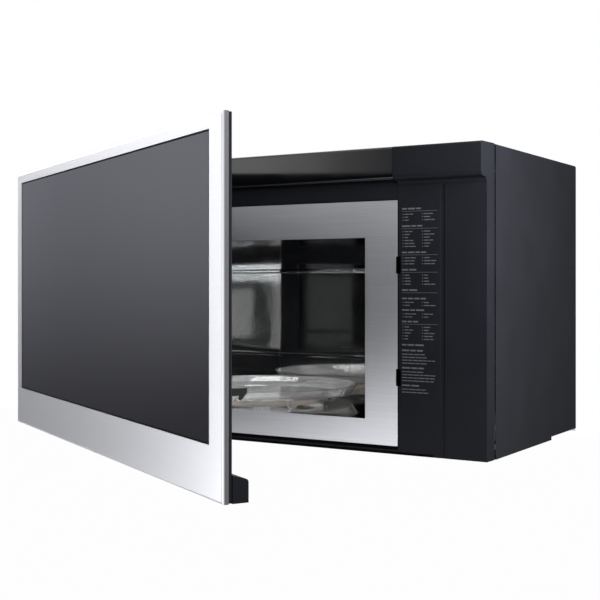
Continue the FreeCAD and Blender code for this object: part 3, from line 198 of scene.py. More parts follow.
def grainedSkin(name, dark, pale, grainMm, grainDepthMm, roughLow, roughHigh, sockets=None):
    # a skin with a fine even grain: sprayed paint, or a moulding from an etched tool
    material, tree, shader, place = startMaterial(name, sockets or {})
    grain = addNode(tree, "ShaderNodeTexNoise", {"Vector": place, "Scale": perMetre(grainMm),
                                                 "Detail": 3.0}).outputs["Fac"]
    cloud = addNode(tree, "ShaderNodeTexNoise", {"Vector": place, "Scale": perMetre(skin["cloud"]),
                                                 "Detail": 2.0}).outputs["Fac"]
    both = addNode(tree, "ShaderNodeMix", {"Factor": skin["cloudShare"], 2: grain, 3: cloud}).outputs[0]
    ramp = addNode(tree, "ShaderNodeValToRGB", {"Fac": both})
    for element, position, tone in zip(ramp.color_ramp.elements, noiseSpan, (dark, pale)):
        element.position = position
        element.color = linear(tone)
    rough = addNode(tree, "ShaderNodeMapRange", {"Value": both, "From Min": noiseSpan[0],
                                                 "From Max": noiseSpan[1],
                                                 "To Min": roughLow, "To Max": roughHigh})
    bump = addNode(tree, "ShaderNodeBump", {"Height": grain, "Strength": skin["reliefStrength"],
                                            "Distance": grainDepthMm * mm})
    tree.links.new(ramp.outputs["Color"], shader.inputs["Base Color"])
    tree.links.new(rough.outputs["Result"], shader.inputs["Roughness"])
    tree.links.new(bump.outputs["Normal"], shader.inputs["Normal"])
    return material


# Glass
hazeSize = 120.0  # mm


def sheetGlass(name, tone, transmission, roughLow, roughHigh, sockets=None):
    # float glass: flat, hard reflections with the faint haze of a wiped surface
    material, tree, shader, place = startMaterial(name, {
        "Base Color": linear(tone), "IOR": 1.52, "Transmission Weight": transmission, **(sockets or {})})
    haze = addNode(tree, "ShaderNodeTexNoise", {"Vector": place, "Scale": perMetre(hazeSize), "Detail": 3.0})
    rough = addNode(tree, "ShaderNodeMapRange", {"Value": haze.outputs["Fac"], "From Min": noiseSpan[0],
                                                 "From Max": noiseSpan[1],
                                                 "To Min": roughLow, "To Max": roughHigh})
    tree.links.new(rough.outputs["Result"], shader.inputs["Roughness"])
    return material


# Electrical pieces, with sizes in mm
bandRepeat = math.pi / 10  # a wave texture's bands repeat after this length at a scale of 1
coil = {"pitch": 1.508, "waver": 0.4, "relief": 0.4, "reliefStrength": 0.6, "tones": ("4A2413", "C27B4A")}


def windings(name):
    # enamelled copper wire laid side by side: shiny red-brown ridges with dark lines between
    material, tree, shader, place = startMaterial(name, {"Metallic": 1.0, "Roughness": 0.3})
    turns = addNode(tree, "ShaderNodeTexWave", {
        "Vector": place, "Scale": perMetre(coil["pitch"]) * bandRepeat, "Distortion": coil["waver"]},
        wave_type="BANDS", bands_direction="Z").outputs["Fac"]
    ramp = addNode(tree, "ShaderNodeValToRGB", {"Fac": turns})
    for element, tone in zip(ramp.color_ramp.elements, coil["tones"]):
        element.color = linear(tone)
    bump = addNode(tree, "ShaderNodeBump", {"Height": turns, "Strength": coil["reliefStrength"],
                                            "Distance": coil["relief"] * mm})
    tree.links.new(ramp.outputs["Color"], shader.inputs["Base Color"])
    tree.links.new(bump.outputs["Normal"], shader.inputs["Normal"])
    return material


stack = {"pitch": 1.0053, "waver": 0.6, "tones": ("1E1C1B", "4C4845")}


def laminations(name):
    # varnished iron sheets stacked on edge: thin dull lines, dark and paler by turns
    material, tree, shader, place = startMaterial(name, {"Metallic": 0.6, "Roughness": 0.45})
    sheets = addNode(tree, "ShaderNodeTexWave", {
        "Vector": place, "Scale": perMetre(stack["pitch"]) * bandRepeat, "Distortion": stack["waver"]},
        wave_type="BANDS", bands_direction="Y").outputs["Fac"]
    ramp = addNode(tree, "ShaderNodeValToRGB", {"Fac": sheets})
    for element, tone in zip(ramp.color_ramp.elements, stack["tones"]):
        element.color = linear(tone)
    tree.links.new(ramp.outputs["Color"], shader.inputs["Base Color"])
    return material


# Fields between tracks are half the pattern long and a quarter high, and a track is a part of the pattern
tracks = {"pattern": 9.0, "track": 0.06, "mask": ("0F4A2A", "135634"), "copper": "2C8A52"}


def circuitBoard(name):
    # green solder mask over copper tracks: satin green with paler lines
    material, tree, shader, place = startMaterial(name, {"Roughness": 0.35})
    pattern = addNode(tree, "ShaderNodeTexBrick", {
        "Vector": place, "Scale": perMetre(tracks["pattern"]), "Mortar Size": tracks["track"],
        "Color1": linear(tracks["mask"][0]), "Color2": linear(tracks["mask"][1]),
        "Mortar": linear(tracks["copper"])})
    tree.links.new(pattern.outputs["Color"], shader.inputs["Base Color"])
    return material


doorSteel = brushedStainless("brushed stainless door skin", "DCDDE1", "E0E1E5", 0.272, 0.288, 0.55, doorTurn)
plateSteel = brushedStainless("brushed stainless front plate", "C4C5C9", "D2D3D7", 0.34, 0.42, 0.8)
cavitySteel = polishedStainless("polished stainless liner", "CBCBCA")
zinc = zincSheet("galvanised sheet", "A4A8AB", "C6CACD")
pinSteel = turnedMetal("turned steel", "8B8D90", "C4C6C9", 0.22, 0.4)
aluminium = turnedMetal("drawn aluminium", "B4B6B9", "DDDFE1", 0.25, 0.45)
paint = grainedSkin("satin black powder coat", "222328", "292A2F", 1.6, 0.03, 0.34, 0.46)
satinAbs = grainedSkin("satin black ABS", "202126", "26272C", 0.9, 0.02, 0.34, 0.44,
                       {"Specular IOR Level": 0.07})
glossAbs = grainedSkin("gloss black ABS", "0D0E11", "101115", 40.0, 0.002, 0.05, 0.1)
darkNylon = grainedSkin("black glass filled nylon", "0D0E10", "17181B", 1.2, 0.03, 0.42, 0.58)
paleAcetal = grainedSkin("natural acetal", "CBCAC6", "DEDDDA", 1.2, 0.01, 0.35, 0.5,
                         {"Subsurface Weight": 0.1})
micaSheet = grainedSkin("mica sheet", "A08D6C", "C4B493", 6.0, 0.05, 0.35, 0.6)
charcoal = grainedSkin("charcoal granules", "050505", "1C1C1C", 3.0, 0.8, 0.7, 0.9)
screenSteel = grainedSkin("black enamelled screen", "08080A", "101113", 0.8, 0.02, 0.3, 0.45)
greyScreen = grainedSkin("grey enamelled screen", "2E2E2D", "383837", 0.8, 0.02, 0.6, 0.7,
                         {"Specular IOR Level": 0.1})
# Flat black for painted shade: strips laid where the gaps round the front plate and the door glass, and the
# lip under the plate, lie in shade
paintedGapShade = grainedSkin("black rubber gasket", "040405", "07080A", 1.0, 0.02, 0.5, 0.7,
                     {"Specular IOR Level": 0.03})
matteCover = grainedSkin("matte black choke cover", "1A1B1E", "202124", 1.0, 0.02, 0.6, 0.75,
                         {"Specular IOR Level": 0.1})
tintedGlass = sheetGlass("tinted door glass", "101116", 0.0, 0.01, 0.03, {
    "Coat Weight": 1.0, "Coat IOR": 1.05, "Coat Tint": (0.94, 0.945, 1.0, 1.0), "Specular IOR Level": 0.4})
trayGlass = sheetGlass("tempered clear glass", "EFF0F0", 0.9, 0.0, 0.02)
innerGlass = sheetGlass("clear inner window", "C9CED0", 1.0, 0.0, 0.03)
lensGlass = sheetGlass("frosted lens", "F4F3EE", 0.85, 0.35, 0.5)
copper = windings("enamelled copper")
coreIron = laminations("transformer laminations")
board = circuitBoard("circuit board")

finishes = [
    (paint, ["outer_wrap", "base_panel"]),
    (zinc, ["back_panel", "waveguide", "fan_shroud", "upper_hinge_bracket", "lower_hinge_bracket",
            "upper_hinge_arm", "lower_hinge_arm", "turntable_motor", "vent_motor", "vent_scroll_left",
            "vent_scroll_right", "vent_wheel_left", "vent_wheel_right", "exhaust_adaptor", "damper_flap"]),
    (satinAbs, ["front_frame", "control_panel", "door_back_frame", "door_grip"]),
    (matteCover, ["choke_cover"]),
    (glossAbs, ["vent_grille"]),
    (charcoal, ["charcoal_filter"]),
    (plateSteel, ["cavity_front_plate"]),
    (cavitySteel, ["cavity_liner"]),
    (micaSheet, ["waveguide_cover"]),
    (aluminium, ["magnetron", "hv_capacitor", "grease_filter_left", "grease_filter_right"]),
    (coreIron, ["transformer_core"]),
    (copper, ["transformer_coils"]),
    (darkNylon, ["interlock_bracket", "cooling_fan", "cooling_fan_motor", "cord_bushing", "door_latch",
                 "upper_plunger", "lower_plunger"]),
    (board, ["control_board"]),
    (pinSteel, ["upper_hinge_pin", "lower_hinge_pin", "vent_shaft"]),
    (paleAcetal, ["upper_switch", "lower_switch", "turntable_coupler", "roller_ring",
                  "roller_1", "roller_2", "roller_3"]),
    (trayGlass, ["glass_tray"]),
    (lensGlass, ["lamp_lens", "cavity_lamp"]),
    (doorSteel, ["door_steel_frame"]),
    (tintedGlass, ["door_glass"]),
    (screenSteel, ["choke_frame"]),
    (greyScreen, ["window_screen"]),
    (innerGlass, ["inner_window"]),
]
for material, names in finishes:
    for name in names:
        for slot in nodes[name].material_slots:
            slot.material = material
print("finishes on", sum(len(names) for material, names in finishes), "nodes")


# Pieces that repeat
def newObject(name, data):
    thing = bpy.data.objects.new(name, data)
    bpy.context.scene.collection.objects.link(thing)
    return thing


def closedBox(name):  # a door node's corners with the door shut
    spots = [ajar.inverted() @ vertex.co for vertex in nodes[name].data.vertices]
    return (Vector([min(spot[i] for spot in spots) for i in range(3)]),
            Vector([max(spot[i] for spot in spots) for i in range(3)]))


def shapeTree(name, makeShape):  # Geometry Nodes: a shape on each point, with the point's own size and turn
    tree = bpy.data.node_groups.new(name, "GeometryNodeTree")
    tree.interface.new_socket("Geometry", in_out="INPUT", socket_type="NodeSocketGeometry")
    factor = tree.interface.new_socket("Size Factor", in_out="INPUT", socket_type="NodeSocketFloat")
    factor.default_value = 1.0
    tree.interface.new_socket("Material", in_out="INPUT", socket_type="NodeSocketMaterial")
    tree.interface.new_socket("Geometry", in_out="OUTPUT", socket_type="NodeSocketGeometry")
    given = addNode(tree, "NodeGroupInput").outputs
    shape = makeShape(tree)
    size = addNode(tree, "GeometryNodeInputNamedAttribute", {"Name": "size"}, data_type="FLOAT_VECTOR")
    turn = addNode(tree, "GeometryNodeInputNamedAttribute", {"Name": "turn"}, data_type="FLOAT_VECTOR")
    scaled = addNode(tree, "ShaderNodeVectorMath", {0: size.outputs[0], 3: given["Size Factor"]},
                     operation="SCALE")
    euler = addNode(tree, "FunctionNodeEulerToRotation", {0: turn.outputs[0]})
    placed = addNode(tree, "GeometryNodeInstanceOnPoints", {
        "Points": given["Geometry"], "Instance": shape, "Rotation": euler.outputs[0],
        "Scale": scaled.outputs[0]})
    real = addNode(tree, "GeometryNodeRealizeInstances", {0: placed.outputs[0]})
    finished = addNode(tree, "GeometryNodeSetMaterial", {"Geometry": real.outputs[0],
                                                         "Material": given["Material"]})
    addNode(tree, "NodeGroupOutput", {"Geometry": finished.outputs[0]})
    return tree


def growPiece(name, tree, rows, inputs):  # rows of place, size and turn become one plain mesh
    points = bpy.data.meshes.new(name + "Points")
    points.from_pydata([row[0] for row in rows], [], [])
    for field, column in (("size", 1), ("turn", 2)):
        layer = points.attributes.new(field, "FLOAT_VECTOR", "POINT")
        layer.data.foreach_set("vector", [value for row in rows for value in row[column]])
    seed = newObject(name + "Seed", points)
    modifier = seed.modifiers.new("grow", "NODES")
    modifier.node_group = tree
    for item in tree.interface.items_tree:
        if item.in_out == "INPUT" and item.name in inputs:
            modifier[item.identifier] = inputs[item.name]
    grown = bpy.data.meshes.new_from_object(seed.evaluated_get(bpy.context.evaluated_depsgraph_get()))
    bpy.data.objects.remove(seed)
    return newObject(name, grown)


def plainBlock(tree):
    return addNode(tree, "GeometryNodeMeshCube", {"Size": (1, 1, 1)}).outputs[0]


blocks = shapeTree("block on each point", plainBlock)
ink = grainedSkin("screen printed ink", "636569", "6F7175", 0.6, 0.005, 0.5, 0.65)
noTurn = (0, 0, 0)

# Cooking guide on the control panel: plain printed bars. A group is ruled or not, then its rows and columns
# Sizes in mm. A part is of the guide's width, tickStep counts ticks, and wordGap is a part of a bar's height
guide = {"inset": 5.7, "width": 49.5, "drop": 36.0, "rowPitch": 3.77, "ruleDrop": 3.3, "ruleLead": 0.6,
         "groupGap": [5.9, 7.5], "firstRow": [4.9, 6.9], "headHigh": 1.9, "textHigh": 1.15, "ruleHigh": 0.4,
         "columns": (0.8, 28.0), "tick": 1.2, "tickStep": 2.4, "wordGap": 0.8, "headWord": 12.0,
         "textWord": 9.0, "headPart": (0.45, 0.75), "textPart": (0.6, 1.0), "columnText": (8.0, 18.0),
         "film": 0.06, "seed": 7,
         "groups": [(1, 3, 2), (1, 6, 2), (1, 3, 2), (1, 4, 2), (1, 0, 1), (0, 2, 2), (0, 2, 2), (1, 5, 2),
                    (0, 0, 1), (0, 4, 1), (0, 4, 1), (0, 2, 1)]}


def printGuide():
    draw = random.Random(guide["seed"])
    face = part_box("front_frame")[0].y
    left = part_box("control_panel")[0].x + guide["inset"] * mm
    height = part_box("vent_grille")[0].z - guide["drop"] * mm
    rows = []

    def bar(start, end, high):
        size = ((end - start) * mm, guide["film"] * mm, high * mm)
        rows.append(((left + (start + end) / 2 * mm, face, height), size, noTurn))

    def words(start, end, high, longest):
        while end - start > longest / 2:
            stop = min(start + draw.uniform(longest / 2, longest), end)
            bar(start, stop, high)
            start = stop + high * guide["wordGap"]

    for ruled, count, columns in guide["groups"]:
        words(0, guide["width"] * draw.uniform(*guide["headPart"]), guide["headHigh"], guide["headWord"])
        height -= guide["ruleDrop"] * mm
        if ruled:
            bar(-guide["ruleLead"], guide["width"], guide["ruleHigh"])
        height -= (guide["firstRow"][ruled] - guide["ruleDrop"]) * mm
        for line in range(count):
            if columns == 1:
                end = guide["width"] * draw.uniform(*guide["textPart"])
                words(0, end, guide["textHigh"], guide["textWord"])
            else:
                for start in guide["columns"]:
                    bar(start, start + guide["tick"], guide["textHigh"])
                    first = start + guide["tick"] * guide["tickStep"]
                    end = first + draw.uniform(*guide["columnText"])
                    words(first, end, guide["textHigh"], guide["textWord"])
            height -= guide["rowPitch"] * mm
        height -= (guide["groupGap"][ruled] - guide["rowPitch"]) * mm
    piece = growPiece("guide_print", blocks, rows, {"Size Factor": 1.0, "Material": ink})
    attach(piece, "cabinet")
    print("guide:", len(rows), "bars")


printGuide()

# Painted shade: flat black strips laid in the gaps round the front plate and round the door glass, where the
# gaps lie in shade
gapShadeSizes = {"plate": 1.3, "below": 4.4, "sill": 3.4, "hookRoom": 3.0, "glass": 1.4, "film": 0.1}  # mm


def plateGapShade():
    low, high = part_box("cavity_front_plate")
    wide = gapShadeSizes["plate"] * mm
    film = gapShadeSizes["film"] * mm
    # Painted shade along the gaps above the plate and at its right-hand side
    rows = [(((low.x + high.x) / 2, low.y, high.z + wide / 2), (high.x - low.x, film, wide), noTurn)]
    # The upright strip of painted gap shade stops at the two slots that the latch goes through, and leaves it
    # space to rise
    room = gapShadeSizes["hookRoom"] * mm
    above = room + joints["latch_lift"]["range_m"][1]
    shut = [ajar.inverted() @ vertex.co for vertex in nodes["door_latch"].data.vertices]
    hooks = sorted(spot.z for spot in shut if spot.y > low.y - room)
    middle = (hooks[0] + hooks[-1]) / 2
    breaks = [low.z, hooks[0] - room, max(z for z in hooks if z < middle) + above,
              min(z for z in hooks if z > middle) - room, hooks[-1] + above, high.z + wide]
    for start, end in zip(breaks[::2], breaks[1::2]):
        rows.append(((high.x + wide / 2, low.y, (start + end) / 2), (wide, film, end - start), noTurn))
    # Painted shade: one strip under the plate, and one along the bottom edge that goes on below the guide,
    # where the lip lies in shadow
    below = gapShadeSizes["below"] * mm
    sill = gapShadeSizes["sill"] * mm
    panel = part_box("control_panel")[0]
    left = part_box("front_frame")[0].x
    strips = [(low.z - below / 2, below, panel.x), (panel.z + sill / 2, sill, panel.x + guide["width"] * mm)]
    for height, tall, right in strips:
        rows.append((((left + right) / 2, low.y, height), (right - left, film, tall), noTurn))
    piece = growPiece("plate_joint", blocks, rows, {"Size Factor": 1.0, "Material": paintedGapShade})
    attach(piece, "cabinet")


def glassGapShade():
    # Painted shade: black strips in the gap between the door glass and the steel skin, where the gap lies in
    # shade
    low, high = closedBox("door_glass")
    wide = gapShadeSizes["glass"] * mm
    film = gapShadeSizes["film"] * mm
    middle = (low + high) / 2
    spans = [((middle.x, low.y, low.z + wide / 2), (high.x - low.x, film, wide)),
             ((middle.x, low.y, high.z - wide / 2), (high.x - low.x, film, wide)),
             ((low.x + wide / 2, low.y, middle.z), (wide, film, high.z - low.z - 2 * wide)),
             ((high.x - wide / 2, low.y, middle.z), (wide, film, high.z - low.z - 2 * wide))]
    rows = [(ajar @ Vector(spot), size, (0, 0, doorTurn)) for spot, size in spans]
    piece = growPiece("glass_joint", blocks, rows, {"Size Factor": 1.0, "Material": paintedGapShade})
    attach(piece, "door")


plateGapShade()
glassGapShade()
# The strips of painted gap shade round the plate and the glass are laid
print("painted gap shade round plate and glass")

# Aluminium wires of the grease filters, crossing in diamonds
wires = {"pitch": 6.0, "width": 1.1, "pocket": 1.0, "slant": 32.0, "rim": 8.1}  # mm and degrees
slack = 1e-9  # for rounding where a wire meets a corner of the rim


def filterWires(node, body):
    low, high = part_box(node)
    middle = (low + high) / 2
    halfX = (high.x - low.x) / 2 - wires["rim"] * mm
    halfY = (high.y - low.y) / 2 - wires["rim"] * mm
    thick = wires["pocket"] / 2 * mm  # two layers fill the filter's shallow pocket
    rows = []
    for layer, sign in enumerate((-1, 1)):
        slant = math.radians(wires["slant"]) * sign
        along = Vector((math.cos(slant), math.sin(slant)))
        across = Vector((-math.sin(slant), math.cos(slant)))
        reach = halfX * abs(across.x) + halfY * abs(across.y)
        count = int(reach / (wires["pitch"] * mm))
        for index in range(-count, count + 1):
            base = across * index * wires["pitch"] * mm
            ends = []  # where this wire meets the rim
            for axis, half in ((0, halfX), (1, halfY)):
                for side in (-half, half):
                    t = (side - base[axis]) / along[axis]
                    spot = base + along * t
                    if abs(spot.x) <= halfX + slack and abs(spot.y) <= halfY + slack:
                        ends.append(t)
            if not ends:
                continue
            start = min(ends)
            end = max(ends)
            spot = base + along * (start + end) / 2
            rows.append(((middle.x + spot.x, middle.y + spot.y, low.z + thick * (1.5 - layer)),
                         (end - start, wires["width"] * mm, thick), (0, 0, slant)))
    piece = growPiece(node + "_wires", blocks, rows, {"Size Factor": 1.0, "Material": aluminium})
    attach(piece, body)
    print(node, "wires:", len(rows))


filterWires("grease_filter_left", "left_filter")
filterWires("grease_filter_right", "right_filter")

# Perforated sheet behind the door's inner window, in six-sided cells
perforation = {"cell": 3.2, "hole": 0.7, "rim": 4.0}  # mm to a cell's corner, and the hole as a part of it


def pierced(tree):
    return addNode(tree, "GeometryNodeMeshCone", {
        "Vertices": 6, "Radius Top": perforation["hole"], "Radius Bottom": 1.0, "Depth": 0.0},
        fill_type="NONE").outputs["Mesh"]


def pierceScreen():
    low, high = closedBox("window_screen")
    cell = perforation["cell"] * mm
    stepX = 1.5 * cell
    stepZ = math.sqrt(3) * cell
    depth = (low.y + high.y) / 2
    columns = int((high.x - low.x - 2 * perforation["rim"] * mm) / stepX)
    lines = int((high.z - low.z - 2 * perforation["rim"] * mm) / stepZ)
    startX = (low.x + high.x) / 2 - (columns - 1) * stepX / 2
    startZ = (low.z + high.z) / 2 - (lines - 0.5) * stepZ / 2
    rows = []
    for column in range(columns):
        shift = column % 2 / 2  # every second column stands half a cell higher
        for line in range(lines):
            spot = Vector((startX + column * stepX, depth, startZ + (line + shift) * stepZ))
            rows.append((ajar @ spot, (cell, cell, cell), (-math.pi / 2, 0, doorTurn)))
    sheet = growPiece("pierced_screen", shapeTree("hole in each cell", pierced), rows,
                      {"Size Factor": 1.0, "Material": greyScreen})
    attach(sheet, "door")
    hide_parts("window_screen")
    print("screen:", len(rows), "holes")


pierceScreen()

# Cross head screws on top: round the exhaust flange and along the rear edge of the wrap
screws = {"radius": 3.6, "flange": 6.0, "flangeThick": 1.2, "edge": 9.0, "along": [-330, -165, 165, 330],
          "turn": 1.5, "seed": 3}  # mm, and the largest turn in radians
screwHead = {"sides": 24, "crown": 0.75, "high": 0.5, "slotLong": 1.1, "slotWide": 0.24,
             "slotLift": 0.45}  # parts of the radius


def crossHead(tree):
    high = screwHead["high"]
    shape = addNode(tree, "GeometryNodeMeshCone", {
        "Vertices": screwHead["sides"], "Radius Top": screwHead["crown"], "Radius Bottom": 1.0,
        "Depth": high}).outputs["Mesh"]
    long = screwHead["slotLong"]
    wide = screwHead["slotWide"]
    for size in ((long, wide, high), (wide, long, high)):
        cube = addNode(tree, "GeometryNodeMeshCube", {"Size": size}).outputs[0]
        cut = addNode(tree, "GeometryNodeTransform", {"Geometry": cube,
                                                      "Translation": (0, 0, screwHead["slotLift"])})
        shape = addNode(tree, "GeometryNodeMeshBoolean", {0: shape, 1: cut.outputs[0]},
                        operation="DIFFERENCE").outputs[0]
    return shape


def topScrews():
    draw = random.Random(screws["seed"])
    low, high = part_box("exhaust_adaptor")
    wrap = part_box("outer_wrap")[1]
    flange = screws["flange"] * mm
    seat = low.z + screws["flangeThick"] * mm
    spots = [(x, y, seat) for y in (low.y + flange, high.y - flange)
             for x in (low.x + flange, (low.x + high.x) / 2, high.x - flange)]
    spots += [(x * mm, wrap.y - screws["edge"] * mm, wrap.z) for x in screws["along"]]
    radius = screws["radius"] * mm
    rows = [(spot, (radius, radius, radius), (0, 0, draw.uniform(0, screws["turn"]))) for spot in spots]
    piece = growPiece("top_screws", shapeTree("screw on each point", crossHead), rows,
                      {"Size Factor": 1.0, "Material": pinSteel})
    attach(piece, "cabinet")
    print("screws:", len(rows))


topScrews()

# Stage, in metres
# The studio as the gloss sees it: rings from the floor up, each a list of bearings from straight ahead, to
# the left, and how bright it is there. Between rings the brightness blends over a span of the ray's Z.
studio = {
    "floorDrop": 1.4, "floorSize": 20.0, "floorWhite": 0.985, "ambient": 0.14, "peak": 9.0,
    "tint": (1.0, 1.0, 1.015, 1.0),
    "keySpot": (-1.4, -2.6, 2.0), "keyAim": (0, -0.3, 0), "keySize": (1.8, 1.4), "keyPower": 3.4,
    "sideX": 0.8, "sideBox": (-0.62, -0.38, 0.03, 0.4), "sidePower": 8.0,
    "lampSpot": (-0.05, -0.2), "lampDrop": 0.03, "lampSize": (0.2, 0.12), "lampPower": 1.2,
    "card": (-0.62, -0.36, -0.25, 0.12), "cardLevel": 2.8,
    "mask": (-0.75, -0.463, -0.2, 0.06), "maskRound": 0.065, "maskWide": 0.056,
    "steep": [(-180, 0.05), (-20, 0.3), (15, 2.5), (45, 2.5), (65, 0.4), (120, 0.1), (140, 0.5), (160, 0.5),
              (176, 0.05)],
    "skirt": [(-180, 0.1), (-75, 0.12), (-40, 0.8), (5, 1.8), (20, 1.2), (25, 5.4), (28, 4.8), (31, 1.7),
              (35, 0.2), (60, 0.8), (80, 0.9), (86, 1.6), (92.5, 1.5), (97.5, 1.75), (103, 0.7), (112, 0.2),
              (125, 0.3), (140, 1.0), (160, 1.0), (176, 0.1)],
    "low": [(-180, 0.06), (-120, 0.1), (-72, 0.15), (-40, 0.8), (5, 1.7), (18, 0.8), (25, 3.6), (28, 3.2),
            (31, 1.1), (35, 0.1), (60, 0.6), (80, 0.7), (84, 6.2), (89.6, 6.2), (91.6, 0.23), (110, 0.085),
            (125, 0.15), (140, 1.4), (160, 1.4), (176, 0.06)],
    "high": [(-180, 0.05), (-120, 0.11), (-72, 0.2), (-25, 1.0), (8, 1.1), (19, 0.12), (26, 0.3), (29, 0.85),
             (31.5, 1.9), (34.5, 2.5), (38, 2.0), (46, 0.9), (80, 0.9), (85, 1.6), (90, 1.5), (92.5, 1.35),
             (104, 0.62), (125, 0.25), (140, 1.4), (160, 1.4), (176, 0.06)],
    "upper": [(-180, 0.05), (-20, 1.0), (10, 1.3), (40, 1.25), (60, 0.7), (86, 0.2), (97, 0.3), (101, 2.0),
              (105, 9.0), (113, 7.0), (125, 0.3), (140, 1.4), (160, 1.4), (176, 0.06)],
    "blends": [(-0.8, -0.5), (-0.32, -0.17), (-0.15, 0.12), (0.115, 0.32)],
}
floorMesh = bpy.data.meshes.new("floor")
half = studio["floorSize"] / 2
drop = cadLow.z - studio["floorDrop"]
floorMesh.from_pydata([(-half, -half, drop), (half, -half, drop), (half, half, drop), (-half, half, drop)],
                      [], [(0, 1, 2, 3)])
floor = newObject("floor", floorMesh)
floorPaint = bpy.data.materials.new("pale studio floor")
floorPaint.use_nodes = True
tree = floorPaint.node_tree
tree.nodes.clear()
paper = addNode(tree, "ShaderNodeBsdfDiffuse", {"Color": linear("F2F2F3")})
white = addNode(tree, "ShaderNodeEmission", {"Color": linear("FFFFFF"), "Strength": 1.0})
path = addNode(tree, "ShaderNodeLightPath")
seen = addNode(tree, "ShaderNodeMath", {0: path.outputs["Is Camera Ray"], 1: studio["floorWhite"]},
               operation="MULTIPLY")
mixed = addNode(tree, "ShaderNodeMixShader", {0: seen.outputs[0], 1: paper.outputs[0], 2: white.outputs[0]})
addNode(tree, "ShaderNodeOutputMaterial", {"Surface": mixed.outputs[0]})
floorMesh.materials.append(floorPaint)
floor.visible_glossy = False  # the rings stand in for it there

world = bpy.data.worlds.new("white studio")
bpy.context.scene.world = world
world.use_nodes = True
tree = world.node_tree
tree.nodes.clear()
path = addNode(tree, "ShaderNodeLightPath")
ray = addNode(tree, "ShaderNodeTexCoord").outputs["Generated"]
toward = addNode(tree, "ShaderNodeSeparateXYZ", {"Vector": ray})
left = addNode(tree, "ShaderNodeMath", {0: toward.outputs["X"], 1: -1.0}, operation="MULTIPLY")
ahead = addNode(tree, "ShaderNodeMath", {0: toward.outputs["Y"], 1: -1.0}, operation="MULTIPLY")
bearing = addNode(tree, "ShaderNodeMath", {0: left.outputs[0], 1: ahead.outputs[0]}, operation="ARCTAN2")
ring = addNode(tree, "ShaderNodeMapRange", {"Value": bearing.outputs[0], "From Min": -math.pi,
                                            "From Max": math.pi})
rings = []
for name in ("steep", "skirt", "low", "high", "upper"):
    stops = studio[name]
    ramp = addNode(tree, "ShaderNodeValToRGB", {"Fac": ring.outputs[0]})
    ramp.color_ramp.interpolation = "EASE"
    while len(ramp.color_ramp.elements) < len(stops):
        ramp.color_ramp.elements.new(0.5)
    for element, (degrees, bright) in zip(ramp.color_ramp.elements, stops):
        part = bright / studio["peak"]
        element.position = 0.5 + degrees / 360
        element.color = (part, part, part, 1.0)
    rings.append(ramp.outputs["Color"])
panels = rings[0]
for (start, end), above in zip(studio["blends"], rings[1:]):
    rise = addNode(tree, "ShaderNodeMapRange", {"Value": toward.outputs["Z"], "From Min": start,
                                                "From Max": end}, interpolation_type="SMOOTHSTEP")
    panels = addNode(tree, "ShaderNodeMix", {"Factor": rise.outputs[0], 6: panels, 7: above},
                     data_type="RGBA").outputs[2]
mirrored = addNode(tree, "ShaderNodeMath", {0: panels, 1: studio["peak"]}, operation="MULTIPLY")
glossy = addNode(tree, "ShaderNodeMix", {"Factor": path.outputs["Is Glossy Ray"], 2: studio["ambient"],
                                         3: mirrored.outputs[0]})
clear = addNode(tree, "ShaderNodeMath", {0: path.outputs["Is Camera Ray"],
                                         1: path.outputs["Is Transmission Ray"]}, operation="MAXIMUM")
strength = addNode(tree, "ShaderNodeMix", {"Factor": clear.outputs[0], 2: glossy.outputs[0], 3: 1.0})
hue = addNode(tree, "ShaderNodeMix", {"Factor": clear.outputs[0], 6: studio["tint"], 7: linear("FFFFFF")},
              data_type="RGBA")
sky = addNode(tree, "ShaderNodeBackground", {"Color": hue.outputs[2], "Strength": strength.outputs[0]})
addNode(tree, "ShaderNodeOutputWorld", {"Surface": sky.outputs["Background"]})


def softbox(name, spot, aim, size, power, mirrored=True):
    data = bpy.data.lights.new(name, "AREA")
    data.shape = "RECTANGLE"
    data.size, data.size_y = size
    data.energy = power
    lamp = newObject(name, data)
    lamp.location = spot
    lamp.visible_camera = False
    lamp.visible_glossy = mirrored
    lamp.rotation_euler = (Vector(aim) - Vector(spot)).to_track_quat("-Z", "Y").to_euler()


softbox("key", studio["keySpot"], studio["keyAim"], studio["keySize"], studio["keyPower"])

# Side box: upright on the right, square to the cabinet's side
y0, y1, z0, z1 = studio["sideBox"]
spot = Vector((studio["sideX"], (y0 + y1) / 2, (z0 + z1) / 2))
softbox("side box", spot, spot - Vector((1, 0, 0)), (y1 - y0, z1 - z0), studio["sidePower"], False)

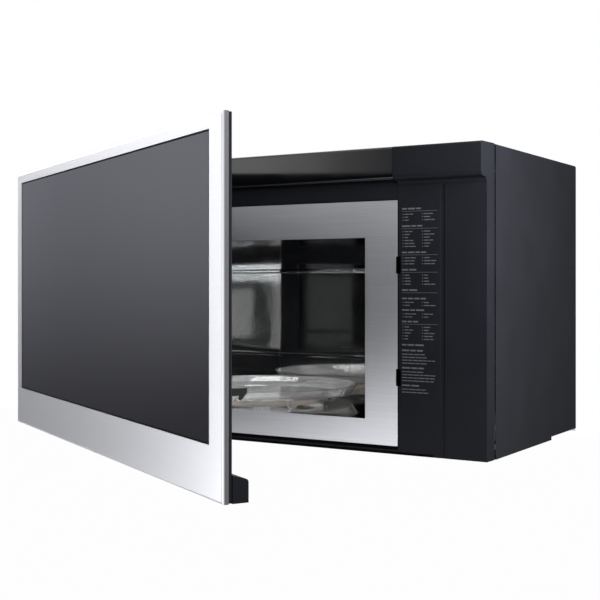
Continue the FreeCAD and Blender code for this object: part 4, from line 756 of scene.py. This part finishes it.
# Grey card under the side box with a round-cornered black mask: the oven's polished walls show it
y0, y1, z0, z1 = studio["card"]
cardMesh = bpy.data.meshes.new("side card")
cardMesh.from_pydata([(studio["sideX"], y, z) for y, z in ((y0, z0), (y1, z0), (y1, z1), (y0, z1))],
                     [], [(0, 1, 2, 3)])
card = newObject("side card", cardMesh)
cardPaint = bpy.data.materials.new("grey card with black mask")
cardPaint.use_nodes = True
tree = cardPaint.node_tree
tree.nodes.clear()
place = addNode(tree, "ShaderNodeTexCoord").outputs["Object"]
y0, y1, z0, z1 = studio["mask"]
maskMiddle = (studio["sideX"], (y0 + y1) / 2, (z0 + z1) / 2)
offset = addNode(tree, "ShaderNodeVectorMath", {0: place, 1: maskMiddle}, operation="SUBTRACT").outputs[0]
folded = addNode(tree, "ShaderNodeVectorMath", {0: offset}, operation="ABSOLUTE").outputs[0]
inset = (0, (y1 - y0) / 2 - studio["maskRound"], (z1 - z0) / 2 - studio["maskRound"])
past = addNode(tree, "ShaderNodeVectorMath", {0: folded, 1: inset}, operation="SUBTRACT").outputs[0]
corner = addNode(tree, "ShaderNodeVectorMath", {0: past, 1: (0, 0, 0)}, operation="MAXIMUM").outputs[0]
reach = addNode(tree, "ShaderNodeVectorMath", {0: corner}, operation="LENGTH").outputs["Value"]
halfMask = studio["maskWide"] / 2
inMask = addNode(tree, "ShaderNodeMath", {0: reach, 1: studio["maskRound"] - halfMask, 2: halfMask},
                 operation="COMPARE").outputs[0]
shown = addNode(tree, "ShaderNodeMapRange", {"Value": inMask, "To Min": studio["cardLevel"],
                                             "To Max": 0.0}).outputs[0]
glow = addNode(tree, "ShaderNodeEmission", {"Strength": shown})
addNode(tree, "ShaderNodeOutputMaterial", {"Surface": glow.outputs[0]})
cardMesh.materials.append(cardPaint)
for kind in ("camera", "diffuse", "transmission", "shadow", "volume_scatter"):
    setattr(card, "visible_" + kind, False)

# Lamp under the oven's ceiling
lampX, lampY = studio["lampSpot"]
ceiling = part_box("cavity_liner")[1].z - studio["lampDrop"]
softbox("oven lamp", (lampX, lampY, ceiling), (lampX, lampY, -1), studio["lampSize"], studio["lampPower"],
        False)

# Camera at the photograph's angle, level, with the horizon a little above the middle
viewSizes = {"spot": (0.9023, -1.6222, 0.0232), "turn": 31.63, "lens": 67.64, "sensor": 36.0,
             "shiftY": -0.0286}
camera = bpy.data.cameras.new("camera")
camera.lens = viewSizes["lens"]
camera.sensor_width = viewSizes["sensor"]
camera.shift_y = viewSizes["shiftY"]
eye = newObject("camera", camera)
eye.location = viewSizes["spot"]
eye.rotation_euler = (math.radians(90), 0, math.radians(viewSizes["turn"]))
bpy.context.scene.camera = eye
bpy.context.scene.view_settings.view_transform = "Standard"
print("stage, lamps and camera")
